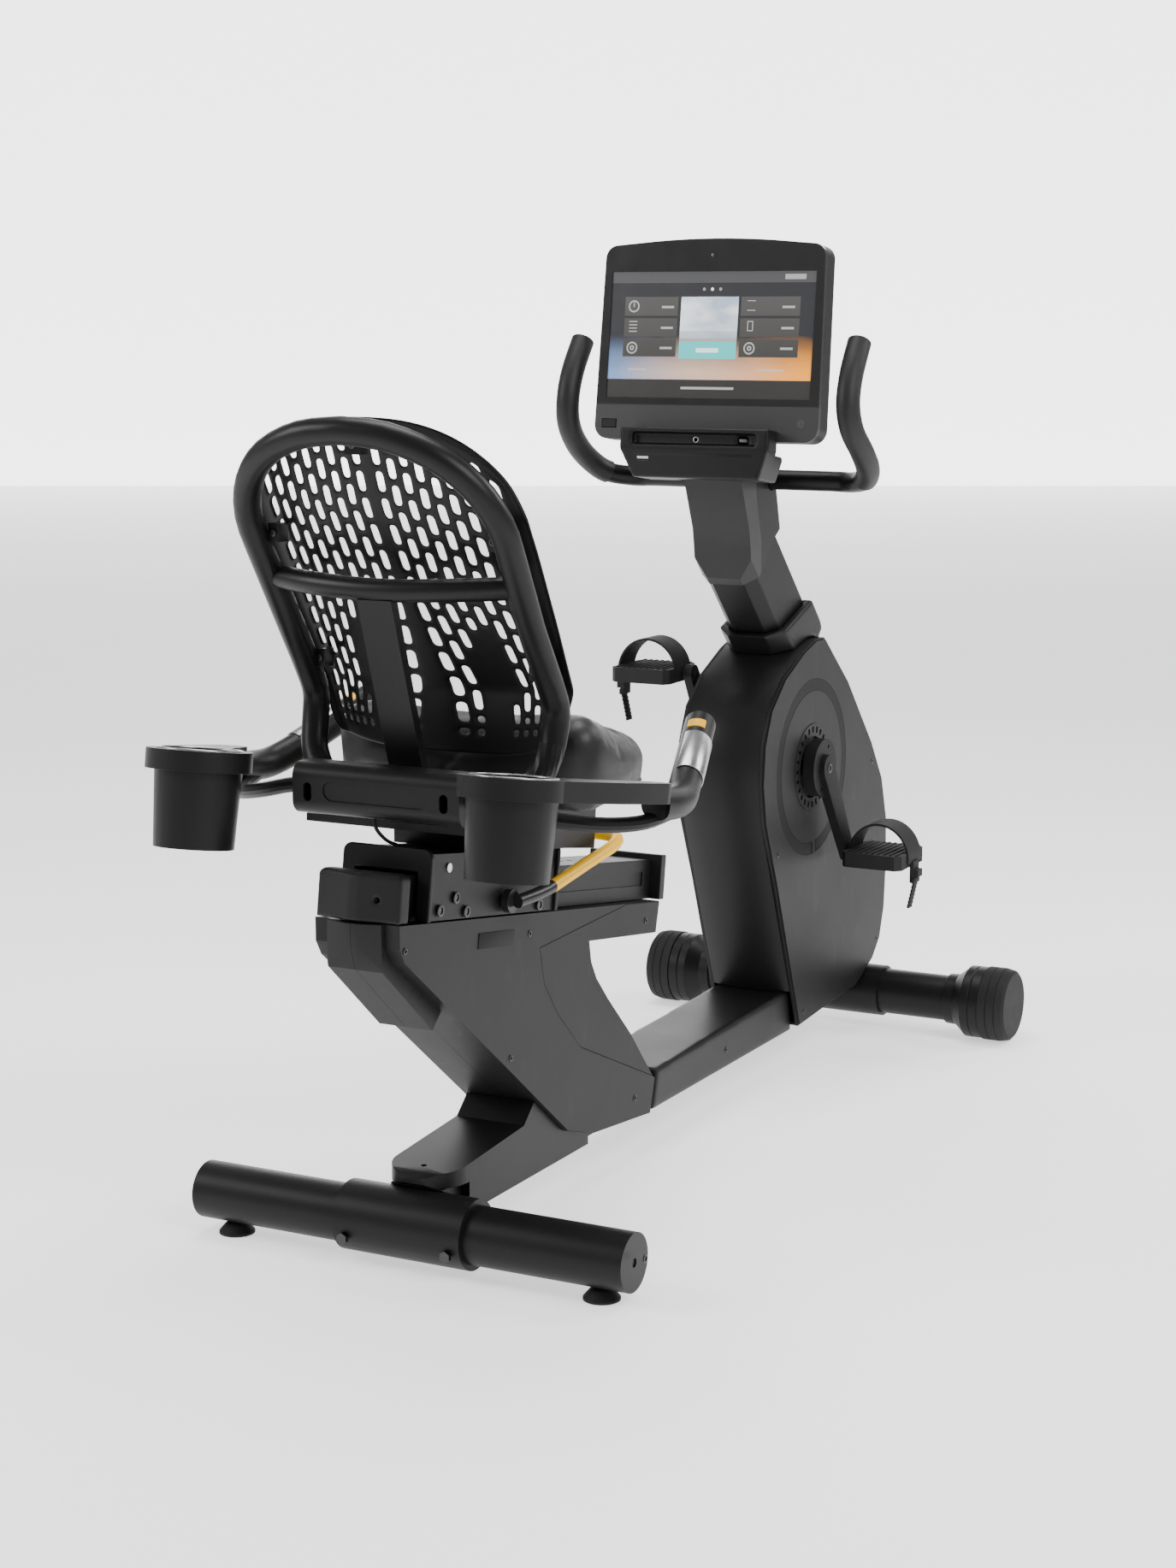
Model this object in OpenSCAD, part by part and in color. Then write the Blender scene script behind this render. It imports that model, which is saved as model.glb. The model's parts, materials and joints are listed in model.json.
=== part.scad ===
/* [Base] */
// Distance between the rear and the front stabilizer tube
base_span = 1435; // [1350:5:1500]
// Radius of both stabilizer tubes
stab_r = 39; // [34:1:42]
// Length of the rear stabilizer with its end caps
rear_len = 650; // [560:10:700]
// Distance between the outer faces of the front wheels
front_len = 676; // [600:4:700]
// Radius of the front wheels
wheel_r = 63; // [60:1:66]
// Height of the rear tube's axis
rear_z = 55; // [52:1:58]

/* [Seat rail] */
// Slope of the rail, down towards the pedals
slope = 8.4; // [6:0.2:10]
// Length of the rail
rail_len = 762; // [740:1:780]
// Height of the rail's lower edge at its rear end
rail_z = 488; // [470:1:500]
// Length of the sliding carriage
carriage_len = 350; // [320:1:360]

/* [Seat] */
// Lean of the seat back from upright
back_lean = 31; // [26:1:36]
// Half the distance between the side tubes of the seat back
back_half = 181; // [170:1:190]
// Diameter of the seat back tube
back_tube = 36; // [30:1:40]
// Distance of each cup holder from the middle
cup_y = 228; // [215:1:235]

/* [Drive] */
// Length of each crank arm, axle to pedal
crank_len = 172.5; // [165:0.5:175]
// Angle of the right crank arm, forward of straight down
crank_angle = 27.6; // [0:0.2:90]
// Height of the crank axle
hub_z = 500; // [480:1:520]

/* [Console] */
// Width of the screen's glass
screen_w = 344; // [320:1:360]
// Tilt of the console, top away from the rider
console_tilt = 7; // [0:1:15]
// Height of the middle of the screen
screen_z = 1203; // [1180:1:1220]

/* [Hidden] */
$fn = 48;

rear_x = -648;
front_x = rear_x + base_span;
front_z = wheel_r;
hub_x = 505;
gap = 0.3;
charcoal = [0.18, 0.18, 0.19];
black = [0.08, 0.08, 0.09];
grey = [0.30, 0.30, 0.31];
steel = [0.65, 0.66, 0.68];
yellow = [0.95, 0.70, 0.10];
rubber = [0.06, 0.06, 0.06];

// A round bar along Y, centred on [x, z]
module bar_y(x, z, r, y0, y1, n = 64) {
    translate([x, y0, z]) rotate([-90, 0, 0]) cylinder(r = r, h = y1 - y0, $fn = n);
}
// A flat shape drawn in X and Z, thick along Y from y0 to y1
module slab(y0, y1) {
    translate([0, y1, 0]) rotate([90, 0, 0]) linear_extrude(height = y1 - y0) children();
}
// A copy on each side of the middle plane
module both() {
    children();
    mirror([0, 1, 0]) children();
}
// A box from one corner to the other
module span(a, b) {
    translate(a) cube(b - a);
}
// The rail's own frame: X runs forward along the rail, Z stands square to it
module on_rail() {
    translate([-774, 0, rail_z]) rotate([0, slope, 0]) children();
}
// Sweeps a ring of n points along a route that never runs straight along `up`
function unit(v) = v / norm(v);
function along(p, i) = unit((i < len(p) - 1 ? p[i + 1] : p[i]) - (i > 0 ? p[i - 1] : p[i]));
module swept(p, r, up = [0, 0, 1], n = 16, r2 = 0) {
    k = len(p);
    rr = r2 == 0 ? r : r2;
    ring = [for (i = [0 : k - 1]) let (
        t = along(p, i),
        s = unit(cross(t, up)),
        u = cross(s, t))
        for (j = [0 : n - 1]) p[i] + r * cos(360 * j / n) * s + rr * sin(360 * j / n) * u];
    polyhedron(
        points = ring,
        faces = concat(
            [[for (j = [n - 1 : -1 : 0]) j]],
            [[for (j = [0 : n - 1]) (k - 1) * n + j]],
            [for (i = [0 : k - 2]) for (j = [0 : n - 1])
                [i * n + j, i * n + (j + 1) % n, (i + 1) * n + (j + 1) % n, (i + 1) * n + j]]));
}
// Points of a smooth curve through a short list of points
function pick(p, i) = p[max(0, min(len(p) - 1, i))];
function smooth(p, steps = 4) = concat(
    [for (i = [0 : len(p) - 2]) for (s = [0 : steps - 1]) let (
        t = s / steps, a = pick(p, i - 1), b = p[i], c = p[i + 1], d = pick(p, i + 2))
        0.5 * (2 * b + (c - a) * t + (2 * a - 5 * b + 4 * c - d) * t * t
            + (3 * b - a - 3 * c + d) * t * t * t)],
    [p[len(p) - 1]]);

// ---- Base ----
beam_half = 40;
beam_low = 64;
beam_top = 104;
saddle_r = stab_r + 8;
front_saddle_r = stab_r + 5;
saddle_half = 96;
module base_beam() {
    color(charcoal) difference() {
        span([rear_x + 10, -beam_half, beam_low], [front_x - 10, beam_half, beam_top]);
        span([rear_x, -beam_half + 4, beam_low + 4], [front_x, beam_half - 4, beam_top - 4]);
        bar_y(rear_x, rear_z, saddle_r + gap, -60, 60);
        bar_y(front_x, front_z, front_saddle_r + gap, -60, 60);
    }
}
module rear_stabilizer() {
    color(charcoal) difference() {
        bar_y(rear_x, rear_z, stab_r, -rear_len / 2 + 4, rear_len / 2 - 4);
        bar_y(rear_x, rear_z, stab_r - 3, -rear_len / 2, rear_len / 2);
        for (y = [-279, 279]) translate([rear_x, y, 0]) cylinder(r = 5.05, h = 40, $fn = 32);
    }
}
module rear_end_caps() {
    color(black) both() difference() {
        union() {
            bar_y(rear_x, rear_z, stab_r, rear_len / 2 - 4, rear_len / 2);
            bar_y(rear_x, rear_z, stab_r - 3.2, rear_len / 2 - 16, rear_len / 2 - 4);
        }
        bar_y(rear_x, rear_z, 6, rear_len / 2 - 2, rear_len / 2 + 1);
    }
}
// The two sleeves that join the stabilizer tubes to the beam
module saddles() {
    color(charcoal) {
        difference() {
            bar_y(rear_x, rear_z, saddle_r, -saddle_half, saddle_half);
            bar_y(rear_x, rear_z, stab_r + 0.1, -100, 100);
            for (y = [-78, 78]) translate([rear_x - 60, y, 38]) rotate([0, 90, 0])
                cylinder(r = 5.2, h = 30, $fn = 32);
        }
        difference() {
            bar_y(front_x, front_z, front_saddle_r, -102, 102);
            bar_y(front_x, front_z, stab_r + 0.1, -110, 110);
        }
    }
}
module front_stabilizer() {
    color(charcoal) difference() {
        bar_y(front_x, front_z, stab_r, -235, 235);
        bar_y(front_x, front_z, stab_r - 3, -240, 240);
    }
}
module saddle_bolts() {
    color(steel) {
        for (y = [-78, 78]) translate([rear_x - saddle_r - 5.5, y, 38]) rotate([0, 90, 0]) {
            cylinder(r = 8, h = 6, $fn = 6);
            cylinder(r = 5, h = 15.5, $fn = 32);
        }
    }
}
// The flared hub that carries each front wheel
module wheel_housings() {
    color(black) both() translate([front_x, 0, front_z]) rotate([-90, 0, 0])
        rotate_extrude($fn = 64) polygon([[stab_r + 0.2, 222], [43, 222], [44, 240], [57, 256],
            [61.5, 260], [61.5, 273], [60, 274.5], [61.5, 276], [61.5, 291.5], [12, 291.5], [12, 334], [7, 334], [7, 285], [stab_r + 0.2, 285]]);
}
module wheel() {
    color(rubber) translate([front_x, 0, front_z]) rotate([-90, 0, 0]) rotate_extrude($fn = 72)
        polygon([[12.06, 292], [wheel_r, 292], [wheel_r, 305], [wheel_r - 1.5, 306.5],
            [wheel_r, 308], [wheel_r, 320], [wheel_r - 1.5, 321.5], [wheel_r - 0.5, 323],
            [wheel_r - 3, front_len / 2 - 4], [wheel_r - 8, front_len / 2], [0, front_len / 2],
            [0, 334.4], [12.06, 334.4]]);
}
module front_wheel_left() wheel();
module front_wheel_right() mirror([0, 1, 0]) wheel();
// A levelling foot: a rubber pad moulded onto a steel stud
module foot() {
    translate([rear_x, 279, 0]) {
        color(rubber) rotate_extrude($fn = 48)
            polygon([[0, 0], [24.5, 0], [24.5, 3], [16, 13], [12, 15.4], [0, 15.4]]);
        color(steel) translate([0, 0, 15]) cylinder(r = 5, h = 30, $fn = 32);
    }
}
module foot_left() foot();
module foot_right() mirror([0, 1, 0]) foot();

// ---- Covers over the beam ----
cover_half = 53;
// Side outline of the rear cover, from its nose to the foot of the seat post
module beam_rear_outline() {
    polygon([[-640, 104.5], [-648, 110], [-650, 118], [-636, 125], [-440, 140], [-400, 176],
        [-350, 150], [-250, 130], [-250, 62], [-590, 62], [-600, 104.5]]);
}
module beam_cover_rear() {
    color(charcoal) difference() {
        intersection() {
            slab(-cover_half, cover_half) beam_rear_outline();
            hull() {
                translate([-598, 0, 0]) cylinder(r = 53, h = 200, $fn = 64);
                span([-300, -53, 0], [-200, 53, 200]);
            }
        }
        span([-610, -beam_half - gap, 0], [-200, beam_half + gap, beam_top + gap]);
        span([-700, -60, 0], [-590, 60, 104]);
        bar_y(rear_x, rear_z, saddle_r + gap, -60, 60);
        slab(-48, 48) polygon([[-500, 110], [-460, 134], [-440, 134], [-400, 170], [-340, 140],
            [-240, 120], [-240, 60], [-500, 60]]);
        slab(-70, 70) post_outline(1);
        translate([-618, 0, 110]) cylinder(r = 4, h = 30, $fn = 32);
    }
}
module beam_cover_mid() {
    color(charcoal) difference() {
        slab(-62, 62) polygon([[-60, 62], [-46, 110], [-44, 122], [416, 133], [456, 133.4],
            [466, 62]]);
        span([-100, -beam_half - gap, 0], [500, beam_half + gap, beam_top + gap]);
        slab(-54, 54) polygon([[-80, 50], [-40, 114], [480, 126], [480, 50]]);
    }
}

// ---- Seat post ----
post_half = 62;
// Side outline of the post's covers; grow widens it for clearance
module post_outline(grow = 0) {
    offset(delta = grow) polygon([[-774, 487], [-774, 456], [-762, 436], [-328, 104],
        [-247, 79], [-67, 61], [-52, 110], [-132, 199], [-205, 268], [-240, 305], [-256, 332],
        [-262, 362.5], [-49, 332], [-37, 378]]);
}
// The part of the outline in front of the concave seam
module post_front_region() {
    polygon([[-411, 384.5], [-398, 330], [-360, 280], [-290, 215], [-51, 112], [20, 110],
        [20, 400]]);
}
module post_solid() {
    slab(-post_half, post_half) post_outline();
}
module post_cavity() {
    slab(-post_half + 4, post_half - 4) offset(delta = -4) post_outline();
}
module post_cut() {
    on_rail() span([-30, -70, -1.5], [800, 70, 60]);
    span([-640, -beam_half - gap, 0], [0, beam_half + gap, beam_top + gap]);
    span([-330, -50, 0], [-40, 50, 100]);
    span([-604, -34.4, 400], [-376, 34.4, 500]);
}
module post_cover_left() {
    color(grey) difference() {
        union() {
            intersection() {
                post_solid();
                span([-800, 0.2, 0], [100, 80, 600]);
            }
            intersection() {
                slab(0.2, 40) polygon([[-774.2, 487], [-774.2, 456], [-762, 436], [-640, 342.7],
                    [-660, 324], [-780, 426], [-790, 456], [-790, 487]]);
                hull() {
                    span([-775, 0.2, 0], [-600, post_half, 600]);
                    span([-790, 0.2, 0], [-600, 12, 600]);
                }
            }
        }
        post_cavity();
        post_cut();
        slab(-80, 80) post_front_region();
    }
}
module post_cover_right() mirror([0, 1, 0]) post_cover_left();
module post_front_cover() {
    color(grey) difference() {
        intersection() {
            post_solid();
            slab(-80, 80) offset(delta = -0.3) post_front_region();
        }
        post_cavity();
        post_cut();
    }
}
module seat_post() {
    color(charcoal) difference() {
        slab(-34, 34) polygon([[-312, 104.4], [-600, 325], [-600, 461.5], [-380, 429],
            [-380, 330], [-110, 104.4]]);
        slab(-30, 30) polygon([[-303, 100], [-592, 328], [-592, 480], [-388, 440],
            [-388, 326], [-125, 100]]);
    }
}

// ---- Rail ----
rail_half = 42;
// Place of the lock pin along the rail, with the seat right back
pin_u = 235;
module rail() {
    color(steel) on_rail() difference() {
        span([24, -rail_half, 0], [rail_len - 16, rail_half, 58]);
        span([20, -rail_half + 4, 6], [rail_len, rail_half - 4, 52]);
        span([60, -70, 20], [rail_len - 40, -rail_half + 2, 40]);
        span([60, rail_half - 2, 20], [rail_len - 40, 70, 40]);
        for (i = [0 : 11]) translate([pin_u + 30 * i, 0, 50]) cylinder(r = 5.2, h = 12, $fn = 32);
    }
}
module rail_rear_cap() {
    color(grey) on_rail() difference() {
        hull() {
            translate([0, 0, 0]) span([0, -61, 0], [23.5, 61, 56]);
            span([-14, -6, 0], [23, 6, 58]);
            span([2, -55, 0], [23.5, 55, 62]);
        }
        span([4, -56, -1], [24, 56, 54]);
        translate([-20, -30, 28]) rotate([0, 90, 0]) cylinder(r = 4, h = 40, $fn = 32);
    }
}
module rail_front_cap() {
    color(black) on_rail() span([rail_len - 15.7, -60, 0], [rail_len, 60, 66]);
}

// ---- Drive housing ----
// Side outline of the drive housing
shroud_points = [[440, 134], [366, 322], [318, 432], [306, 496], [312, 560], [338, 615],
    [392, 660], [470, 695], [520, 709], [556, 709], [660, 625], [772, 506], [823, 436],
    [848, 360], [851, 279], [844, 200], [825, 147], [792, 116], [714, 84], [593, 78],
    [466, 70]];
module drive_outline(inset = 0) {
    offset(delta = -inset) polygon(shroud_points);
}
// What pokes through the housing or passes into it
module shroud_openings() {
    bar_y(hub_x, hub_z, 16, -120, 120);
    bar_y(front_x, front_z, front_saddle_r + gap, -110, 110);
    span([300, -beam_half - gap, 0], [900, beam_half + gap, beam_top + gap]);
}
module shroud_right() mirror([0, 1, 0]) shroud_left();
module shroud_left() {
    color(grey) difference() {
        union() {
            slab(68.3, 73) drive_outline();
            slab(73, 76) drive_outline(3);
            intersection() {
                slab(0.2, 68.3) difference() {
                    drive_outline();
                    drive_outline(4);
                }
                slab(-1, 100) polygon([[560, 760], [640, 600], [760, 300], [760, 60], [900, 60],
                    [900, 760]]);
            }
        }
        shroud_openings();
        bar_y(hub_x, hub_z, 72.3, 71, 80, 96);
        difference() {
            bar_y(hub_x, hub_z, 146, 75.2, 80, 96);
            bar_y(hub_x, hub_z, 126, 70, 90, 96);
            translate([hub_x + 6, 60, hub_z - 160]) cube([10, 40, 60]);
        }
    }
}
module shroud_rear_cover() {
    color(charcoal) difference() {
        hull() {
            slab(-68, 68) drive_outline();
            slab(-30, 30) translate([-16, 3, 0]) intersection() {
                drive_outline();
                translate([200, 130]) square([300, 560]);
            }
        }
        hull() {
            slab(-70, 70) drive_outline(4);
            slab(-30, 30) translate([-12, 3, 0]) intersection() {
                drive_outline(4);
                translate([200, 134]) square([300, 550]);
            }
        }
        slab(-100, 100) polygon([[559.6, 800], [559.6, 709], [639.6, 600], [759.6, 300],
            [759.6, 40], [900, 40], [900, 800]]);
        shroud_openings();
        slab(-70, 70) polygon([[400, 30], [408, 134.2], [460, 134.2], [470, 60]]);
        mast_tube(-120, 80, 0.3);
    }
}
module vent_rings() {
    color(black) both() difference() {
        bar_y(hub_x, hub_z, 72, 71.2, 77, 96);
        bar_y(hub_x, hub_z, 51, 60, 90, 96);
        for (a = [0 : 15 : 345]) translate([hub_x, 0, hub_z]) rotate([0, a, 0])
            span([57, 60, -3], [67, 90, 3]);
    }
}
// Upright plates inside the housing: crank bearings, flywheel axle and mast foot
flywheel_x = 680;
flywheel_z = 330;
module drive_frame() {
    color(charcoal) difference() {
        union() {
            both() slab(46, 50) polygon([[470, beam_top], [440, 480], [470, 560], [420, 655],
                [500, 690], [560, 600], [570, 480], [720, 360], [742, beam_top]]);
            bar_y(hub_x, hub_z, 30, -50, 50);
            both() bar_y(flywheel_x, flywheel_z, 14, 36, 50);
            span([470, -46, 104.4], [742, 46, 108]);
        }
        bar_y(hub_x, hub_z, 24, -60, 60);
        bar_y(flywheel_x, flywheel_z, 8.05, -60, 60);
        bar_y(hub_x, hub_z, 100, -35.6, 35.6);
    }
}
module hub_bearings() {
    color(steel) both() difference() {
        bar_y(hub_x, hub_z, 23.95, 38, 49);
        bar_y(hub_x, hub_z, 10.05, 30, 60);
    }
}

// ---- Cranks and pedals ----
crank_dx = crank_len * sin(crank_angle);
crank_dz = crank_len * cos(crank_angle);
module crankset() {
    color(black) {
        bar_y(hub_x, hub_z, 10, -108, 108);
        difference() {
            bar_y(hub_x, hub_z, 92, -12, 12, 96);
            bar_y(hub_x, hub_z, 60, -20, -5, 96);
            bar_y(hub_x, hub_z, 60, 5, 20, 96);
            for (a = [0 : 60 : 300]) translate([hub_x, 0, hub_z]) rotate([0, a, 0])
                translate([38, 0, 0]) bar_y(0, 0, 12, -20, 20);
        }
        for (side = [-1, 1]) crank_arm(side);
    }
}
// side is -1 on the right, where the arm points down, and 1 on the left
module crank_arm(side) {
    end_x = hub_x - side * crank_dx;
    end_z = hub_z + side * crank_dz;
    y0 = side < 0 ? -99 : 80;
    difference() {
        union() {
            bar_y(hub_x, hub_z, 48, y0, y0 + 19, 72);
            hull() {
                bar_y(hub_x, hub_z, 22, side < 0 ? -107 : 90, side < 0 ? -90 : 107, 32);
                bar_y(end_x, end_z, 15, side < 0 ? -114 : 100, side < 0 ? -100 : 114, 32);
            }
        }
        bar_y(end_x, end_z, 7.05, -140, 140, 32);
        bar_y(hub_x, hub_z, 8, -140, 140, 32);
        for (s = [-1, 1]) bar_y(hub_x + s * 14, hub_z + s * 34, 3, -140, 140, 24);
    }
    bar_y(hub_x, hub_z, 8.5, side < 0 ? -107 : 70, side < 0 ? -70 : 107, 32);
}
pedal_y = 173;
// The pedal, with its spindle, rubber platform and strap, around the end of its crank
module pedal_body(side) {
    px = hub_x - side * crank_dx;
    pz = hub_z + side * crank_dz;
    m = side < 0 ? 1 : 0;
    translate([px, 0, pz]) mirror([0, m, 0]) {
        color(steel) bar_y(0, 0, 7, 99, 122, 32);
        color(rubber) difference() {
            translate([0, 121, -13]) linear_extrude(height = 24) hull() {
                translate([-62, 8]) square([118, 86]);
                translate([-52, 0]) square([96, 104]);
            }
            span([-46, 136, -20], [-12, 208, 4]);
            span([12, 136, -20], [46, 208, 4]);
            span([-30, 118, -20], [30, 124, 20]);
            span([-30, 222, -20], [30, 230, 20]);
        }
        color(black) {
            translate([-28, 0, 0]) rotate([90, 0, 90]) linear_extrude(height = 56)
                strap_arch();
            span([-12, 224, -40], [12, 231, -4]);
            span([-10, 231, -30], [10, 238, -18]);
        }
        color(black) span([-30, 122, -13], [30, 126, 0]);
        color(black) span([-30, 219, -13], [30, 224.5, 0]);
    }
}
// The strap's arch over the foot, drawn across the pedal
module strap_arch() {
    intersection() {
        difference() {
            translate([174, 0]) scale([1, 1.06]) circle(r = 54, $fn = 64);
            translate([174, 0]) scale([1, 1.06]) circle(r = 50.5, $fn = 64);
        }
        translate([100, -6]) square([150, 80]);
    }
}
module pedal_left() pedal_body(1);
module pedal_right() pedal_body(-1);
module flywheel() {
    color(steel) {
        bar_y(flywheel_x, flywheel_z, 8, -50, 50);
        bar_y(flywheel_x, flywheel_z, 120, -34, -14, 96);
        bar_y(flywheel_x, flywheel_z, 26, -14, 12);
        bar_y(flywheel_x, flywheel_z, 30, 12, 16);
    }
}

// The belt runs round the drive pulley and the small pulley beside the flywheel
belt_gap = 0.3;
module drive_belt() {
    color(rubber) difference() {
        hull() {
            bar_y(hub_x, hub_z, 92 + belt_gap + 3, -10, 10, 48);
            bar_y(flywheel_x, flywheel_z, 26 + belt_gap + 3, -10, 10, 48);
        }
        hull() {
            bar_y(hub_x, hub_z, 92 + belt_gap, -20, 20, 48);
            bar_y(flywheel_x, flywheel_z, 26 + belt_gap, -20, 20, 48);
        }
    }
}

// ---- Mast and console ----
module on_mast() {
    translate([461, 0, 753]) rotate([0, -45, 0]) children();
}
module mast_section(h, w, d, c) {
    linear_extrude(height = h) polygon([[-d / 2, -w / 2 + c], [-d / 2 + c, -w / 2],
        [d / 2 - c, -w / 2], [d / 2, -w / 2 + c], [d / 2, w / 2 - c], [d / 2 - c, w / 2],
        [-d / 2 + c, w / 2], [-d / 2, w / 2 - c]]);
}
// A length of the mast's tube from z0 to z1 along it, with its sides moved out by grow
module mast_tube(z0, z1, grow = 0) {
    on_mast() translate([15, 0, z0])
        mast_section(z1 - z0, 90 + 2 * grow, 128 + 2 * grow, 18 + 0.6 * grow);
}
module mast() {
    color(black) {
        difference() {
            mast_tube(-62, 135);
            mast_tube(-70, 131, -4);
        }
        difference() {
            union() {
                slab(-36, 36) polygon([[322, 846], [380, 866], [368, 960], [356, 996],
                    [338, 1060], [338, 1160], [308, 1160], [296, 1060], [296, 1000],
                    [308, 920]]);
                slab(-24, 24) polygon([[350, 950], [392, 956], [392, 996], [350, 996]]);
            }
            bar_y(390, 976, 16.1, -80, 80);
        }
    }
}
module mast_collar() {
    color(charcoal) difference() {
        intersection() {
            mast_tube(-110, 30, 14);
            slab(-80, 80) polygon([[360, 640], [388, 690], [400, 722], [540, 772],
                [566, 756], [588, 712], [600, 640]]);
        }
        mast_tube(-120, 200, 0.3);
        hull() {
            slab(-68.5, 68.5) drive_outline(-0.3);
            slab(-30, 30) translate([-16.3, 3, 0]) intersection() {
                drive_outline(-0.3);
                translate([200, 130]) square([300, 560]);
            }
        }
    }
}
// The neck between the mast and the console, as a rear and a front shell
module neck_shape(t = 0) {
    intersection() {
        slab(-49 + t, 49 - t) offset(delta = -t) polygon([[270, 1002], [272, 978],
            [304, 902], [310, 871], [317, 806], [352, 832], [398, 880], [424, 896],
            [408, 958], [394, 1002]]);
        hull() {
            span([262, -49 + t, 955], [430, 49 - t, 1010]);
            mast_tube(20, 192, 4.5 - t);
        }
    }
}
// The upright plane that parts the two shells, from its rear side at x0
module neck_split(x0) {
    slab(-80, 80) polygon([[x0, 1100], [x0, 960], [x0 + 22, 880], [x0 + 22, 780],
        [500, 780], [500, 1100]]);
}
module neck_cover_rear() {
    color(grey) difference() {
        neck_shape();
        neck_shape(3);
        span([290, -36.4, 990], [368, 36.4, 1010]);
        mast_tube(-90, 136, 0.3);
        neck_split(330);
    }
}
module neck_cover_front() {
    color(charcoal) difference() {
        intersection() {
            neck_shape();
            neck_split(330.4);
        }
        neck_shape(3);
        mast_tube(-90, 136, 0.3);
        span([350, -24.4, 940], [420, 24.4, 1010]);
        span([290, -36.4, 990], [368, 36.4, 1010]);
        bar_y(390, 976, 17.5, -80, 80);
    }
}
// Half of the handlebar's route, from the middle to the tip
bar_half = [[390, 20, 976], [390, 150, 976], [380, 190, 976], [352, 222, 983],
    [322, 238, 1002], [284, 243, 1029], [249, 240, 1063], [240, 237, 1102],
    [254, 236, 1145], [287, 235, 1193]];
module handlebar() {
    route = smooth(bar_half, 4);
    n = 12;
    color(black) {
        swept(concat([for (i = [n : -1 : 0]) [route[i][0], -route[i][1], route[i][2]]],
            [for (i = [0 : n]) route[i]]), 16, [0.2, 0, 1], 20);
    }
}
module handlebar_grips() {
    route = smooth(bar_half, 4);
    color(rubber) both() swept([for (i = [12 : len(route) - 1]) route[i]], 18.3, [0, 1, 0.2], 20);
}
module on_console() {
    translate([260, 0, screen_z]) rotate([0, console_tilt, 0]) children();
}
// Front outline of the console: Y across and Z up, with an arched top
module console_outline(inset = 0) {
    offset(delta = -inset) hull() {
        for (y = [-167, 167]) translate([y, -140]) circle(r = 22, $fn = 32);
        for (y = [-165, 165]) translate([y, 118]) circle(r = 20, $fn = 32);
        translate([0, -1263]) intersection() {
            circle(r = 1410, $fn = 360);
            translate([-150, 1385]) square([300, 60]);
        }
    }
}
// Stands the outline up, facing the rider, from depth x0 to x1
module faced(x0, x1) {
    translate([x0, 0, 0]) rotate([90, 0, 90]) linear_extrude(height = x1 - x0) children();
}
module console_back() {
    color(charcoal) on_console() difference() {
        union() {
            faced(6.2, 34) console_outline();
            faced(34, 50) console_outline(14);
        }
        faced(3, 46) console_outline(18);
        faced(3, 31) console_outline(3);
    }
}
module console_bezel() {
    color(black) on_console() difference() {
        faced(-4, 6) console_outline();
        faced(-5, 10) translate([-screen_w / 2 - 0.2, -97.2]) square([screen_w + 0.4, 194.4]);
        translate([-6, 164, -138]) span([0, -13, -7], [20, 13, 7]);
        faced(2, 10) console_outline(4);
    }
}
module console_screen() {
    color([0.2, 0.25, 0.3]) on_console()
        faced(-2, 2) translate([-screen_w / 2, -97]) square([screen_w, 194]);
}
module console_pod() {
    color(grey) on_console() difference() {
        hull() {
            span([-42, -125, -178], [-4.3, 125, -146]);
            span([-28, -106, -222], [40, 106, -206]);
            span([-4.3, -120, -190], [30, 120, -184]);
        }
        span([-50, -104, -172], [-30, 104, -153]);
        translate([-40, 0, -163]) rotate([0, 90, 0]) cylinder(r = 3.2, h = 25, $fn = 32);
        span([-45, -88, -168], [-15, -70, -158]);
        span([-4.4, -300, -182.4], [80, 300, -140]);
        span([10, -50.3, -230], [80, 50.3, -170]);
    }
}
module power_button() {
    color(charcoal) on_console() span([-5, 152, -144], [1.4, 176, -132]);
}

// ---- Carriage ----
carriage_half = 64;
car_x0 = 62;
car_x1 = car_x0 + carriage_len;
module carriage() {
    color(charcoal) on_rail() difference() {
        span([car_x0 + 8, -carriage_half + 2, 1], [car_x1 - 8, carriage_half - 2, 86]);
        span([0, -carriage_half + 8, -2], [900, carriage_half - 8, 80]);
        for (x = [car_x0 + 50, car_x1 - 50]) bar_y(x, 68, 6.05, -80, 80, 32);
        bar_y(265, 20, 8.05, -80, 80, 32);
        translate([pin_u, 0, 70]) cylinder(r = 5.05, h = 30, $fn = 32);
    }
}
module carriage_plates() {
    color(black) on_rail() difference() {
        for (x = [car_x0, car_x1 - 8]) difference() {
            translate([x, 0, 0]) rotate([90, 0, 90]) linear_extrude(height = 8) hull() {
                translate([-carriage_half + 10, 80]) circle(r = 12, $fn = 32);
                translate([carriage_half - 10, 80]) circle(r = 12, $fn = 32);
                translate([-carriage_half - 2, 0]) square([2 * carriage_half + 4, 4]);
            }
        }
        span([0, -rail_half - 4, -3], [900, rail_half + 4, 62]);
    }
}
module rollers(x) {
    color(steel) on_rail() {
        bar_y(x, 68, 6, -carriage_half, carriage_half, 32);
        bar_y(x, 68, 9.5, -30, 30);
    }
}
module rollers_rear() rollers(car_x0 + 50);
module rollers_front() rollers(car_x1 - 50);
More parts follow.
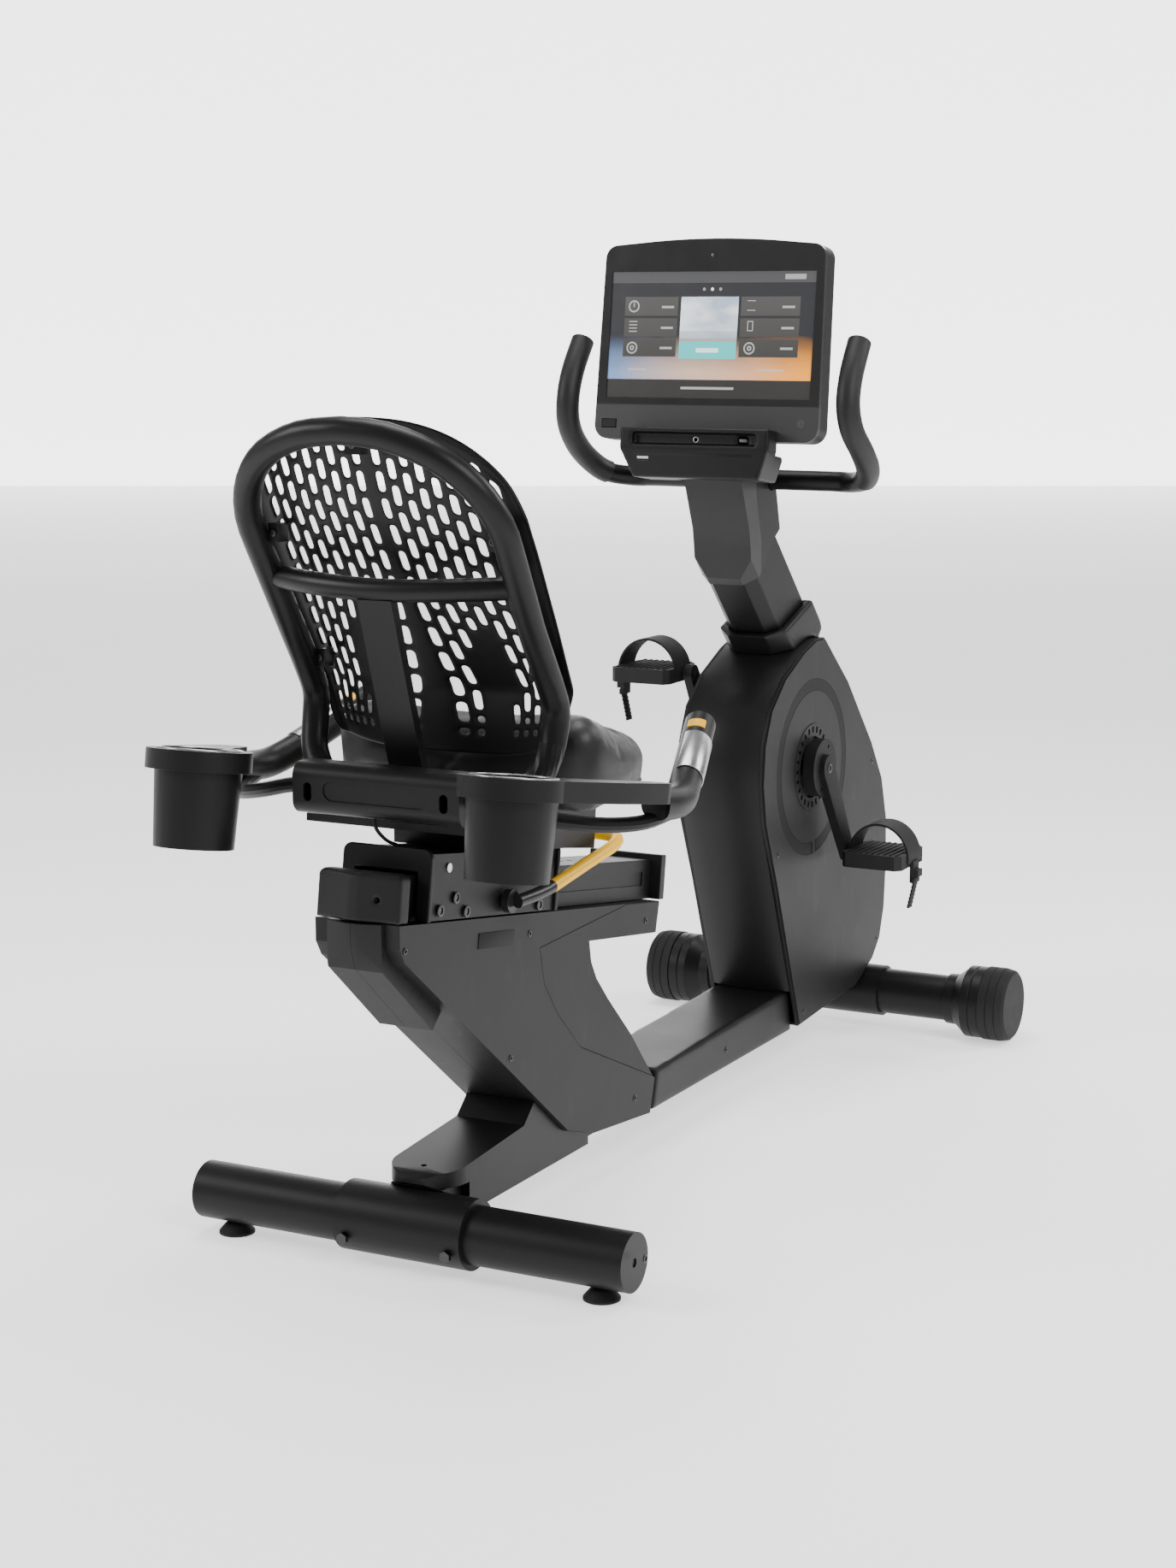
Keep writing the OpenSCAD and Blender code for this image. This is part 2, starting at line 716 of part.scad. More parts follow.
// The U-shaped lever under the front of the seat
module seat_lever() {
    color(yellow) on_rail() {
        both() {
            bar_y(265, 20, 8, 52, 76, 32);
            difference() {
                bar_y(265, 20, 16, 66, 76);
                bar_y(265, 20, 7, 50, 80, 32);
            }
        }
        swept(smooth([[265, -82, 20], [330, -90, 34], [440, -94, 68], [520, -94, 92],
            [548, -70, 101], [552, 0, 102], [548, 70, 101], [520, 94, 92], [440, 94, 68],
            [330, 90, 34], [265, 82, 20]], 4), 9, [0, 0.1, 1], 16);
    }
}
module lock_pin() {
    color(steel) on_rail() {
        translate([pin_u, 0, 58.6]) cylinder(r = 5, h = 30, $fn = 32);
        translate([pin_u, 0, 62]) cylinder(r = 9, h = 6, $fn = 32);
    }
}

// ---- Seat ----
module seat_frame() {
    color(black) difference() {
        union() {
            hull() {
                span([-560, -100, 590], [-310, 100, 596]);
                span([-545, -88, 574], [-268, 88, 576]);
            }
            slab(-76, 76) polygon([[-560, 580], [-268, 580], [-276, 500], [-362, 514.9],
                [-560, 544.1]]);
            span([-671.5, -140, 586], [-550, 140, 596]);
        }
        slab(-70, 70) polygon([[-550, 570], [-276, 570], [-283, 508], [-362, 521],
            [-550, 549]]);
        on_rail() translate([pin_u, 0, 80]) cylinder(r = 8, h = 40, $fn = 32);
        on_rail() span([car_x1 - 9, -70, 80], [car_x1 + 1, 70, 92.6]);
    }
}
module seat_cushion() {
    color(black) hull() {
        for (y = [-164, 164]) {
            translate([-362, y, 644]) sphere(r = 32, $fn = 24);
            translate([-490, y, 682]) sphere(r = 36, $fn = 24);
            translate([-362, y, 596.6]) cylinder(r = 27, h = 24, $fn = 24);
            translate([-490, y, 596.6]) cylinder(r = 32, h = 24, $fn = 24);
        }
        translate([-344, 0, 638]) scale([1, 4, 0.9]) sphere(r = 30, $fn = 24);
    }
}
// Places a point of the leaning seat back plane at height z and side y
function back_x(z) = -726 - (z - 980) * tan(back_lean);
module seat_back_frame() {
    half = smooth([[-612, 132, 604], [-614, 148, 634], [-600, 172, 668], [-586, 179, 710], [-583, 180, 742],
        [-600, 180, 776], [back_x(850), 180, 850], [back_x(930), 183, 930],
        [back_x(985), 182, 985], [back_x(1030), 160, 1032], [back_x(1068), 118, 1068],
        [back_x(1090), 60, 1090], [back_x(1096), 0, 1096]], 3);
    n = len(half);
    color(black) {
        swept(concat([for (i = [0 : n - 1]) half[i]],
            [for (i = [n - 2 : -1 : 0]) [half[i][0], -half[i][1], half[i][2]]]),
            back_tube / 2, [1, 0, 0.62], 16);
        swept(smooth([[back_x(903) + 2, -175, 903], [back_x(900) - 28, -95, 899],
            [back_x(896) - 40, 0, 896], [back_x(900) - 28, 95, 899],
            [back_x(903) + 2, 175, 903]], 4), 15, [0.3, 0, 1], 16);
        both() for (z = [790, 961]) translate([back_x(z) + 8, 152, z - 12]) cube([22, 16, 24]);
        translate([back_x(1076) + 14, -12, 1066]) cube([20, 24, 20]);
        slab(-25, 25) polygon([[-726, 884], [-712, 888], [-618, 596.4], [-632, 596.4]]);
    }
}
// The curved shell that the back rests on
module seat_back_shell() {
    shell = 4;
    rows = [[672, 150], [700, 176], [760, 192], [850, 195], [940, 198], [1000, 190],
        [1050, 160], [1085, 110], [1112, 30]];
    cols = 10;
    pts = [for (s = [0, 1]) for (r = rows) for (j = [0 : cols])
        let (y = r[1] * (2 * j / cols - 1), b = 34 * (1 - pow(abs(y) / 200, 2)) * min(1, (1135 - r[0]) / 135))
        [back_x(max(r[0], 760)) + 52 - b * 0.9 - s * shell + (r[0] < 760 ? (760 - r[0]) * 0.1 : 0),
            y, r[0]]];
    nr = len(rows);
    nc = cols + 1;
    function id(s, i, j) = s * nr * nc + i * nc + j;
    color(black) polyhedron(points = pts, faces = concat(
        [for (i = [0 : nr - 2]) for (j = [0 : cols - 1])
            [id(0, i, j), id(0, i + 1, j), id(0, i + 1, j + 1), id(0, i, j + 1)]],
        [for (i = [0 : nr - 2]) for (j = [0 : cols - 1])
            [id(1, i, j), id(1, i, j + 1), id(1, i + 1, j + 1), id(1, i + 1, j)]],
        [for (j = [0 : cols - 1]) [id(0, 0, j), id(0, 0, j + 1), id(1, 0, j + 1), id(1, 0, j)]],
        [for (j = [0 : cols - 1]) [id(0, nr - 1, j), id(1, nr - 1, j), id(1, nr - 1, j + 1),
            id(0, nr - 1, j + 1)]],
        [for (i = [0 : nr - 2]) [id(0, i, 0), id(1, i, 0), id(1, i + 1, 0), id(0, i + 1, 0)]],
        [for (i = [0 : nr - 2]) [id(0, i, cols), id(0, i + 1, cols), id(1, i + 1, cols),
            id(1, i, cols)]]));
}
module crossmember() {
    color(charcoal) difference() {
        slab(-122.5, 122.5) hull() {
            translate([-712, 654]) circle(r = 18, $fn = 32);
            translate([-712, 624]) circle(r = 18, $fn = 32);
            translate([-690, 654]) circle(r = 18, $fn = 32);
            translate([-690, 624]) circle(r = 18, $fn = 32);
        }
        slab(-118, 118) hull() {
            translate([-712, 654]) circle(r = 14, $fn = 32);
            translate([-712, 624]) circle(r = 14, $fn = 32);
            translate([-690, 654]) circle(r = 14, $fn = 32);
            translate([-690, 624]) circle(r = 14, $fn = 32);
        }
        translate([-731, 0, 639]) rotate([0, 90, 0]) linear_extrude(height = 3) hull() {
            translate([0, -64]) circle(r = 13, $fn = 32);
            translate([0, 64]) circle(r = 13, $fn = 32);
        }
        for (y = [-100, 100]) translate([-740, y, 636]) rotate([0, 90, 0])
            linear_extrude(height = 20) hull() {
                translate([-6, 0]) circle(r = 6, $fn = 32);
                translate([6, 0]) circle(r = 6, $fn = 32);
            }
    }
}
// The arm's own frame: origin in the middle of the cup's mouth, sloping like the seat
module on_arm() {
    translate([-781, cup_y, 688]) rotate([0, slope, 0]) children();
}
module tray() {
    color(charcoal) on_arm() difference() {
        union() {
            translate([0, 0, -26]) linear_extrude(height = 26) union() {
                circle(r = 68, $fn = 72);
                hull() {
                    translate([12, 14]) circle(r = 54, $fn = 48);
                    translate([110, 66]) circle(r = 32, $fn = 32);
                }
                hull() {
                    translate([110, 66]) circle(r = 32, $fn = 32);
                    translate([200, 90]) circle(r = 22, $fn = 32);
                }
            }
            translate([0, 0, -125]) cylinder(r1 = 51.5, r2 = 56, h = 100, $fn = 72);
        }
        translate([0, 0, -120]) cylinder(r1 = 47, r2 = 52, h = 121, $fn = 72);
    }
}
module tray_left() tray();
module tray_right() mirror([0, 1, 0]) tray();
module grip() {
    route = smooth([[-575, 316, 630], [-540, 319, 625], [-500, 315, 624], [-462, 303, 635],
        [-420, 290, 653], [-326, 261, 694]], 4);
    color(charcoal) {
        difference() {
            swept(route, 21, [0, 0, 1], 24);
            on_arm() translate([0, 0, -60]) linear_extrude(height = 120) hull() {
                translate([110, 66]) circle(r = 33, $fn = 32);
                translate([200, 90]) circle(r = 22.6, $fn = 32);
            }
            on_grip() span([-9.4, -12.4, 12], [9.4, 12.4, 30]);
        }
        swept(smooth([[-700, 124.3, 640], [-700, 150, 636], [-692, 190, 626],
            [-668, 236, 616], [-628, 274, 608], [-580, 302, 606], [-530, 314, 612]], 4), 10,
            [0, 0, 1], 12);
    }
}
// The frame of the thumb button, near the end of the grip
module on_grip() {
    translate([-352, 269, 682.5]) rotate([0, -22.6, -17.1]) children();
}
module grip_button() {
    color(yellow) on_grip() intersection() {
        span([-9, -12, 14], [9, 12, 30]);
        rotate([0, 90, 0]) cylinder(r = 22, h = 30, center = true);
    }
}
module grip_button_left() grip_button();
module grip_button_right() mirror([0, 1, 0]) grip_button();
module grip_left() grip();
module grip_right() mirror([0, 1, 0]) grip();
// The short lead from the crossmember down into the carriage
module sensor_lead() {
    color(rubber) swept(smooth([[-700, 20, 605.6], [-700, 16, 590], [-690, 8, 575],
        [-672, 4, 566], [-658, 2, 561]], 4), 2.4, [0, 1, 0], 8);
}

base_beam();
rear_stabilizer();
rear_end_caps();
front_stabilizer();
saddles();
saddle_bolts();
wheel_housings();
foot_left();
foot_right();
beam_cover_rear();
beam_cover_mid();
seat_post();
post_cover_left();
post_cover_right();
post_front_cover();
rail();
rail_rear_cap();
rail_front_cap();
drive_frame();
shroud_left();
shroud_right();
shroud_rear_cover();
vent_rings();
mast_collar();
mast();
neck_cover_rear();
neck_cover_front();
handlebar();
handlebar_grips();
console_back();
console_bezel();
console_screen();
console_pod();
power_button();
hub_bearings();
drive_belt();
front_wheel_left();
front_wheel_right();
carriage();
carriage_plates();
rollers_rear();
rollers_front();
seat_lever();
lock_pin();
seat_frame();
seat_cushion();
seat_back_frame();
seat_back_shell();
crossmember();
tray_left();
tray_right();
grip_left();
grip_right();
grip_button_left();
grip_button_right();
sensor_lead();
crankset();
flywheel();
pedal_left();
pedal_right();
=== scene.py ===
import json
import math

import bpy
from mathutils import Matrix, Vector

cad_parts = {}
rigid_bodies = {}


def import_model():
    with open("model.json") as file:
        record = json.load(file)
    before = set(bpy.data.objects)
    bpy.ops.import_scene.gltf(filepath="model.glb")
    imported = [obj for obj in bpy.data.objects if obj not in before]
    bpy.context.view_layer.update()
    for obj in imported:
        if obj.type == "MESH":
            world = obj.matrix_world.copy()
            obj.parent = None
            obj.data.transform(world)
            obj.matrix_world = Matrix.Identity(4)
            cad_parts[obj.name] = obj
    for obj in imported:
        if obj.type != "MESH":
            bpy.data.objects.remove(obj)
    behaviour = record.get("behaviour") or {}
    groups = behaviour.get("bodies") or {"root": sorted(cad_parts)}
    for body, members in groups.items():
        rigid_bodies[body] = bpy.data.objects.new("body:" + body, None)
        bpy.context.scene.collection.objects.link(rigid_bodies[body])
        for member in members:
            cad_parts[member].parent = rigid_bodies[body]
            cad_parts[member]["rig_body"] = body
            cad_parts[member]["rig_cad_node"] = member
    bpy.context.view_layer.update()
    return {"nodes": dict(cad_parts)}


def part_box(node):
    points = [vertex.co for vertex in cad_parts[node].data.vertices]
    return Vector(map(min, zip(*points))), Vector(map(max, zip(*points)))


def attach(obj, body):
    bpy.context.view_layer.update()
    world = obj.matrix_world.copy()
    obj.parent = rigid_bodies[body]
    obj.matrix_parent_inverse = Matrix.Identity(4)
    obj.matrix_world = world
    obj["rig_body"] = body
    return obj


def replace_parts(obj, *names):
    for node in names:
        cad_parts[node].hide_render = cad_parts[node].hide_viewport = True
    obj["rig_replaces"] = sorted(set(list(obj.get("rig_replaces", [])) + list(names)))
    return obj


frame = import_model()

bl_info = {
    "name": "Recumbent exercise bike looks",
    "version": (1, 0, 0),
    "blender": (4, 5, 0),
    "location": "View3D > Sidebar > Exercise bike",
    "description": "Finishes and detailed pieces for a recumbent exercise bike",
    "category": "Object",
}

MM = 0.001

# Places that the pieces share, in metres
HUB_X, HUB_Z = 0.505, 0.5
CONSOLE_AT = Vector((0.260, 0.0, 1.203))
CONSOLE_TILT = math.radians(7)
SEAT_SLOPE = math.radians(8.4)
SCREEN_W, SCREEN_H = 0.344, 0.194
# Up from the console's middle, where its glass ends
FASCIA_V = -0.108
# Behind this, the lever is its black pivot end
LEVER_BLACK_X = -0.429

# Crank arms: length in mm and turn from upright
CRANK_LENGTH = 172.5
CRANK_TURN = math.radians(27.6)

# Seat back, in mm: a point on its tube, its lean and the shell's half width at each height
BACK_X, BACK_Z = -726, 980
BACK_LEAN = math.radians(31.0)
SHELL_HALF_WIDTHS = ((672, 146), (700, 172), (760, 190), (850, 195), (940, 198), (1112, 198))
SHELL_FOOT, SHELL_WAIST, SHELL_SHOULDER, SHELL_TOP = 672, 760, 985, 1112

# Camera: place, axes, lens in mm and shift in image widths
CAMERA_AT = Vector((-3.60607, -1.79309, 1.23474))
CAMERA_RIGHT = Vector((0.46071, -0.88755, 0.0))
CAMERA_UP = Vector((0.14236, 0.07390, 0.98705))
CAMERA_AHEAD = Vector((0.87606, 0.45474, -0.16040))
CAMERA_LENS = 62.85
CAMERA_SHIFT = (0.0007, -0.0160)
BACKDROP_FAR, BACKDROP_SIZE = 16.0, 18

# Studio lights: place, what they point at, size in m and power in W
SOFTBOXES = (
    ((-1.6, -3.4, 3.2), (0.0, 0.0, 0.6), 2.0, 120),
    ((-2.6, 3.0, 2.6), (-0.3, 0.0, 0.6), 1.6, 80),
    ((2.4, -2.2, 2.8), (0.4, 0.0, 0.7), 1.4, 60),
    ((0.2, 0.4, 3.8), (0.0, 0.0, 0.5), 1.8, 90),
)


# ---- Shader building ----
class Wire:
    """A node's output, or a number, that Python's operators can work on."""

    def __init__(self, finish, socket):
        self.finish, self.socket = finish, socket

    def math(self, operation, *others):
        values = [o.socket if isinstance(o, Wire) else o for o in others]
        return self.finish.node(
            "ShaderNodeMath", {"operation": operation}, {i: v for i, v in enumerate([self.socket, *values])}
        )

    def __add__(self, other):
        return self.math("ADD", other)

    def __mul__(self, other):
        return self.math("MULTIPLY", other)

    def __sub__(self, other):
        return self.math("SUBTRACT", other)

    def __rsub__(self, other):
        return self * -1.0 + other

    def __gt__(self, other):
        return self.math("GREATER_THAN", other)

    def __lt__(self, other):
        return self.math("LESS_THAN", other)

    __radd__ = __add__
    __rmul__ = __mul__

    def between(self, low, high):
        return (self > low) * (self < high)

    def ramp(self, low, high):
        """0 below low, 1 above high."""
        return self.finish.node(
            "ShaderNodeMapRange",
            {"clamp": True},
            {"Value": self.socket, "From Min": low, "From Max": high},
            "Result",
        )


class Finish:
    """One material, with its shader nodes."""

    def __init__(self, name, **constants):
        self.material = bpy.data.materials.new(name)
        self.material.use_nodes = True
        self.tree = self.material.node_tree
        self.shader = self.tree.nodes["Principled BSDF"]
        for key, value in constants.items():
            self.shader.inputs[key.replace("_", " ")].default_value = value
        self.place = self.node("ShaderNodeTexCoord", {}, {}, "Object")

    def node(self, kind, settings=None, inputs=None, output=0):
        made = self.tree.nodes.new(kind)
        for key, value in (settings or {}).items():
            setattr(made, key, value)
        for key, value in (inputs or {}).items():
            value = value.socket if isinstance(value, Wire) else value
            if isinstance(value, bpy.types.NodeSocket):
                self.tree.links.new(value, made.inputs[key])
            else:
                made.inputs[key].default_value = value
        return Wire(self, made.outputs[output])

    def set(self, **wires):
        for key, wire in wires.items():
            self.tree.links.new(wire.socket, self.shader.inputs[key.replace("_", " ")])

    def stretched(self, scale=(1, 1, 1)):
        return self.node("ShaderNodeMapping", {}, {"Vector": self.place, "Scale": scale})

    def noise(self, scale, detail=3.0, where=None, rough=0.5):
        return self.node(
            "ShaderNodeTexNoise",
            {},
            {"Vector": where or self.place, "Scale": scale, "Detail": detail, "Roughness": rough},
        )

    def cells(self, scale, feature="DISTANCE_TO_EDGE", where=None):
        return self.node(
            "ShaderNodeTexVoronoi",
            {"feature": feature},
            {"Vector": where or self.place, "Scale": scale},
        )

    def blend(self, factor, low, high):
        """A colour between two, by the factor."""
        made = self.tree.nodes.new("ShaderNodeMix")
        made.data_type = "RGBA"
        for key, value in ((0, factor), (6, low), (7, high)):
            value = value.socket if isinstance(value, Wire) else value
            if isinstance(value, bpy.types.NodeSocket):
                self.tree.links.new(value, made.inputs[key])
            else:
                made.inputs[key].default_value = value
        return Wire(self, made.outputs[2])

    def bump(self, height, distance, strength=1.0, below=None):
        inputs = {"Height": height, "Distance": distance, "Strength": strength}
        if below is not None:
            inputs["Normal"] = below
        return self.node("ShaderNodeBump", {}, inputs, "Normal")


def tone(value, tint=0.0):
    """A near-neutral colour, a little bluer with tint."""
    return (value, value, value * (1 + tint), 1.0)


def moulded(name, value, grain=1500.0, height=0.10, rough=0.5, wear=0.35, coat=0.0):
    """Spark-textured plastic or powder coat: a fine grain, soft patches and rubbed high spots."""
    f = Finish(name, Specular_IOR_Level=0.2, Coat_Weight=coat, Coat_Roughness=0.25)
    fine = f.noise(grain, 2.0, rough=0.6)
    pits = f.cells(grain * 0.45, "SMOOTH_F1")
    patches = f.noise(9.0, 4.0)
    smears = f.noise(34.0, 5.0, f.stretched((1, 1, 0.35)), 0.62)
    rub = (smears.ramp(0.58, 0.80)) * wear
    base = f.blend(patches.ramp(0.3, 0.7), tone(value * 0.88), tone(value * 1.12, 0.02))
    base = f.blend(fine.ramp(0.35, 0.75) * 0.35, base, tone(value * 1.5, 0.02))
    base = f.blend(rub * 0.35, base, tone(value * 1.7, 0.02))
    f.set(
        Base_Color=base,
        Roughness=rough + (patches - 0.5) * 0.10 - rub * 0.16 + (fine - 0.5) * 0.12,
        Normal=f.bump(fine + pits * 0.5, height * MM, 0.55),
    )
    return f.material


def steel(name, value=0.56, rough=0.3, streaks=(900, 900, 18)):
    """Bright steel with fine machining lines and a little haze."""
    f = Finish(name, Metallic=1.0)
    lines = f.noise(1.0, 3.0, f.stretched(streaks), 0.7)
    haze = f.noise(26.0, 4.0)
    f.set(
        Base_Color=f.blend(haze.ramp(0.3, 0.7), tone(value * 0.88), tone(value * 1.08, 0.02)),
        Roughness=rough + (lines - 0.5) * 0.22 + (haze - 0.5) * 0.12,
        Normal=f.bump(lines, 0.02 * MM, 0.35),
    )
    return f.material


def rubber(name, value=0.018, pebble=700.0, rough=0.72):
    """Dusty matt rubber."""
    f = Finish(name, Specular_IOR_Level=0.35)
    pebbles = f.cells(pebble, "SMOOTH_F1")
    dust = f.noise(40.0, 5.0, rough=0.65)
    f.set(
        Base_Color=f.blend(dust.ramp(0.5, 0.8) * 0.5, tone(value), tone(value * 2.6)),
        Roughness=rough + (dust - 0.5) * 0.22,
        Normal=f.bump(pebbles, 0.12 * MM, 0.5),
    )
    return f.material


def vinyl(name, value=0.022):
    """Upholstery vinyl: leather grain cells over soft creases."""
    f = Finish(name, Specular_IOR_Level=0.4, Coat_Weight=0.05, Coat_Roughness=0.4)
    warp = f.noise(60.0, 3.0)
    grain = f.cells(420.0)
    pores = f.noise(1900.0, 2.0)
    crease = f.noise(18.0, 5.0, f.stretched((1, 0.4, 1)), 0.6)
    worn = crease.ramp(0.45, 0.75)
    low = f.bump(crease, 0.9 * MM, 0.35)
    mid = f.bump(grain.ramp(0.0, 0.12), 0.10 * MM, 0.6, low)
    f.set(
        Base_Color=f.blend(worn, tone(value), tone(value * 1.7, 0.02)),
        Roughness=0.46 + (warp - 0.5) * 0.16 - worn * 0.06,
        Normal=f.bump(pores, 0.03 * MM, 0.4, mid),
    )
    return f.material


def gloss(name, colour, rough=0.3, coat=0.09):
    """Smooth coloured plastic with a faint orange peel."""
    f = Finish(name, Specular_IOR_Level=0.3, Coat_Weight=coat, Coat_Roughness=0.12)
    peel = f.noise(240.0, 2.0)
    scuff = f.noise(60.0, 6.0, rough=0.7)
    dark = tuple(c * 0.82 for c in colour[:3]) + (1.0,)
    f.set(
        Base_Color=f.blend(scuff.ramp(0.55, 0.8) * 0.8, colour, dark),
        Roughness=rough + scuff.ramp(0.5, 0.8) * 0.18,
        Normal=f.bump(peel, 0.04 * MM, 0.35),
    )
    return f.material


def lever_finish(name, colour):
    """Coloured plastic beyond the lever's black pivot end."""
    f = Finish(name, Specular_IOR_Level=0.25, Coat_Weight=0.04, Coat_Roughness=0.2)
    along = f.node("ShaderNodeSeparateXYZ", {}, {"Vector": f.place})
    peel = f.noise(240.0, 2.0)
    scuff = f.noise(60.0, 6.0, rough=0.7)
    tinted = f.blend(scuff.ramp(0.5, 0.8) * 0.6, colour, tuple(c * 0.8 for c in colour[:3]) + (1.0,))
    f.set(
        Base_Color=f.blend(along > LEVER_BLACK_X, tone(0.012), tinted),
        Roughness=0.32 + scuff.ramp(0.5, 0.8) * 0.18,
        Normal=f.bump(peel, 0.04 * MM, 0.35),
    )
    return f.material


def fascia(name):
    """Console front: glass above the groove, fine matt grain below it."""
    f = Finish(name, Specular_IOR_Level=0.45, Coat_Roughness=0.05)
    shift = f.node("ShaderNodeVectorMath", {"operation": "SUBTRACT"}, {0: f.place, 1: CONSOLE_AT}, "Vector")
    up = Vector((math.sin(CONSOLE_TILT), 0, math.cos(CONSOLE_TILT)))
    v = f.node("ShaderNodeVectorMath", {"operation": "DOT_PRODUCT"}, {0: shift, 1: up}, "Value")
    glass = v > FASCIA_V
    groove = (v - FASCIA_V).math("ABSOLUTE") < 0.0008
    grain = f.noise(2200.0, 2.0)
    smear = f.noise(22.0, 5.0, rough=0.6)
    base = f.blend(smear, tone(0.012), tone(0.018))
    base = f.blend(glass, f.blend(grain.ramp(0.3, 0.7), tone(0.016), tone(0.026)), base)
    f.set(
        Base_Color=f.blend(groove, base, tone(0.002)),
        Roughness=0.46 - glass * 0.32 + (smear - 0.5) * 0.10 + groove * 0.3,
        Normal=f.bump(grain * (1 - glass) - groove * 6.0, 0.05 * MM, 0.5),
    )
    return f.material


def display(name):
    """The touch screen's home page: bars, tiles, plain icons and a beach picture."""
    f = Finish(name, Coat_Weight=0.6, Coat_Roughness=0.06, Emission_Strength=0.55)
    shift = f.node("ShaderNodeVectorMath", {"operation": "SUBTRACT"}, {0: f.place, 1: CONSOLE_AT}, "Vector")
    up = Vector((math.sin(CONSOLE_TILT), 0, math.cos(CONSOLE_TILT)))

    def along(axis):
        return f.node("ShaderNodeVectorMath", {"operation": "DOT_PRODUCT"}, {0: shift, 1: axis}, "Value")

    u = along(Vector((0, -1 / SCREEN_W, 0))) + 0.5
    v = along(up / SCREEN_H) + 0.5

    def patch(left, right, low, high):
        return u.between(left, right) * v.between(low, high)

    def ring(at_u, at_v, radius, line):
        du, dv = (u - at_u) * (SCREEN_W / SCREEN_H), v - at_v
        return (du * du + dv * dv).math("SQRT").between(radius - line, radius + line)

    glow = f.blend(u.ramp(0.05, 0.95), (0.16, 0.27, 0.48, 1), (0.95, 0.34, 0.02, 1))
    middle = (1 - (u - 0.45).math("ABSOLUTE") * 2.4).ramp(0.0, 1.0)
    glow = f.blend(middle * 0.75, glow, (0.62, 0.45, 0.30, 1))
    sky = f.noise(14.0, 5.0, f.stretched((1, 1, 3.0)))
    level = v.ramp(0.62, 0.12) + (sky - 0.5) * 0.2
    page = f.blend(level.ramp(0.25, 0.85), (0.022, 0.022, 0.025, 1), glow)
    page = f.blend(patch(0, 1, 0.91, 1), page, (0.058, 0.058, 0.060, 1))
    page = f.blend(patch(0, 1, 0, 0.145), page, (0.024, 0.023, 0.022, 1))
    tiles = patch(0.07, 0.335, 0.31, 0.80) + patch(0.645, 0.93, 0.31, 0.80)
    rows = v.between(0.325, 0.465) + v.between(0.485, 0.63) + v.between(0.65, 0.80)
    shade = f.blend(v.ramp(0.3, 0.8), (0.038, 0.037, 0.034, 1), (0.060, 0.059, 0.056, 1))
    page = f.blend(tiles * rows, page, shade)
    icons = ring(0.115, 0.725, 0.042, 0.006)
    for at_u, at_v in ((0.115, 0.395), (0.695, 0.395)):
        icons = icons + ring(at_u, at_v, 0.042, 0.006) + ring(at_u, at_v, 0.014, 0.006)
    icons = icons + patch(0.112, 0.118, 0.72, 0.752)
    for low in (0.522, 0.548, 0.574, 0.600):
        icons = icons + patch(0.095, 0.135, low, low + 0.008)
    icons = icons + patch(0.675, 0.715, 0.765, 0.771) + patch(0.675, 0.715, 0.69, 0.696)
    icons = icons + patch(0.680, 0.684, 0.53, 0.61) + patch(0.704, 0.708, 0.53, 0.61)
    icons = icons + patch(0.680, 0.708, 0.53, 0.537) + patch(0.680, 0.708, 0.603, 0.61)
    for low in (0.385, 0.545, 0.71):
        icons = icons + patch(0.255, 0.315, low, low + 0.018) + patch(0.845, 0.905, low, low + 0.018)
    icons = icons + patch(0.10, 0.19, 0.215, 0.232) + patch(0.74, 0.87, 0.215, 0.232)
    icons = icons + patch(0.37, 0.63, 0.068, 0.088)
    icons = icons + ring(0.46, 0.86, 0.008, 0.004) + ring(0.54, 0.86, 0.008, 0.004)
    page = f.blend(icons.ramp(0.0, 1.0) * 0.75, page, (0.42, 0.42, 0.42, 1))
    page = f.blend(ring(0.50, 0.86, 0.0, 0.013), page, (0.9, 0.9, 0.9, 1))
    page = f.blend(patch(0.85, 0.95, 0.935, 0.975), page, (0.30, 0.30, 0.30, 1))
    picture = patch(0.350, 0.632, 0.31, 0.80)
    cloud = f.blend(sky.ramp(0.35, 0.65), (0.35, 0.42, 0.52, 1), (0.80, 0.82, 0.84, 1))
    beach = f.blend(v.ramp(0.47, 0.475), (0.34, 0.31, 0.28, 1), cloud)
    beach = f.blend(v.between(0.47, 0.53) * 0.6, beach, (0.30, 0.37, 0.43, 1))
    page = f.blend(picture, page, beach)
    page = f.blend(patch(0.350, 0.632, 0.31, 0.445), page, (0.06, 0.52, 0.52, 1))
    page = f.blend(patch(0.435, 0.545, 0.36, 0.395), page, (0.7, 0.9, 0.9, 1))
    f.set(Base_Color=page, Emission_Color=page, Roughness=0.14 + f.noise(30.0, 4.0) * 0.08)
    return f.material


# ---- Modelling helpers ----
def clear_selection():
    if bpy.context.object and bpy.context.object.mode != "OBJECT":
        bpy.ops.object.mode_set(mode="OBJECT")
    bpy.ops.object.select_all(action="DESELECT")


def activate(piece):
    clear_selection()
    bpy.context.view_layer.objects.active = piece
    piece.select_set(True)


def edit(piece, pick=None):
    """Goes into edit mode with only the faces that pick chooses selected, or with all of them."""
    activate(piece)
    chosen = [pick is None or bool(pick(p)) for p in piece.data.polygons]
    for v in piece.data.vertices:
        v.select = False
    for e in piece.data.edges:
        e.select = False
    for p, yes in zip(piece.data.polygons, chosen):
        p.select = yes
    bpy.ops.object.mode_set(mode="EDIT")
    bpy.ops.mesh.select_mode(type="FACE")


def done():
    bpy.ops.object.mode_set(mode="OBJECT")


def placed(piece):
    """Puts the object's place, turn and scale into its mesh."""
    activate(piece)
    bpy.ops.object.transform_apply(location=True, rotation=True, scale=True)
    return piece


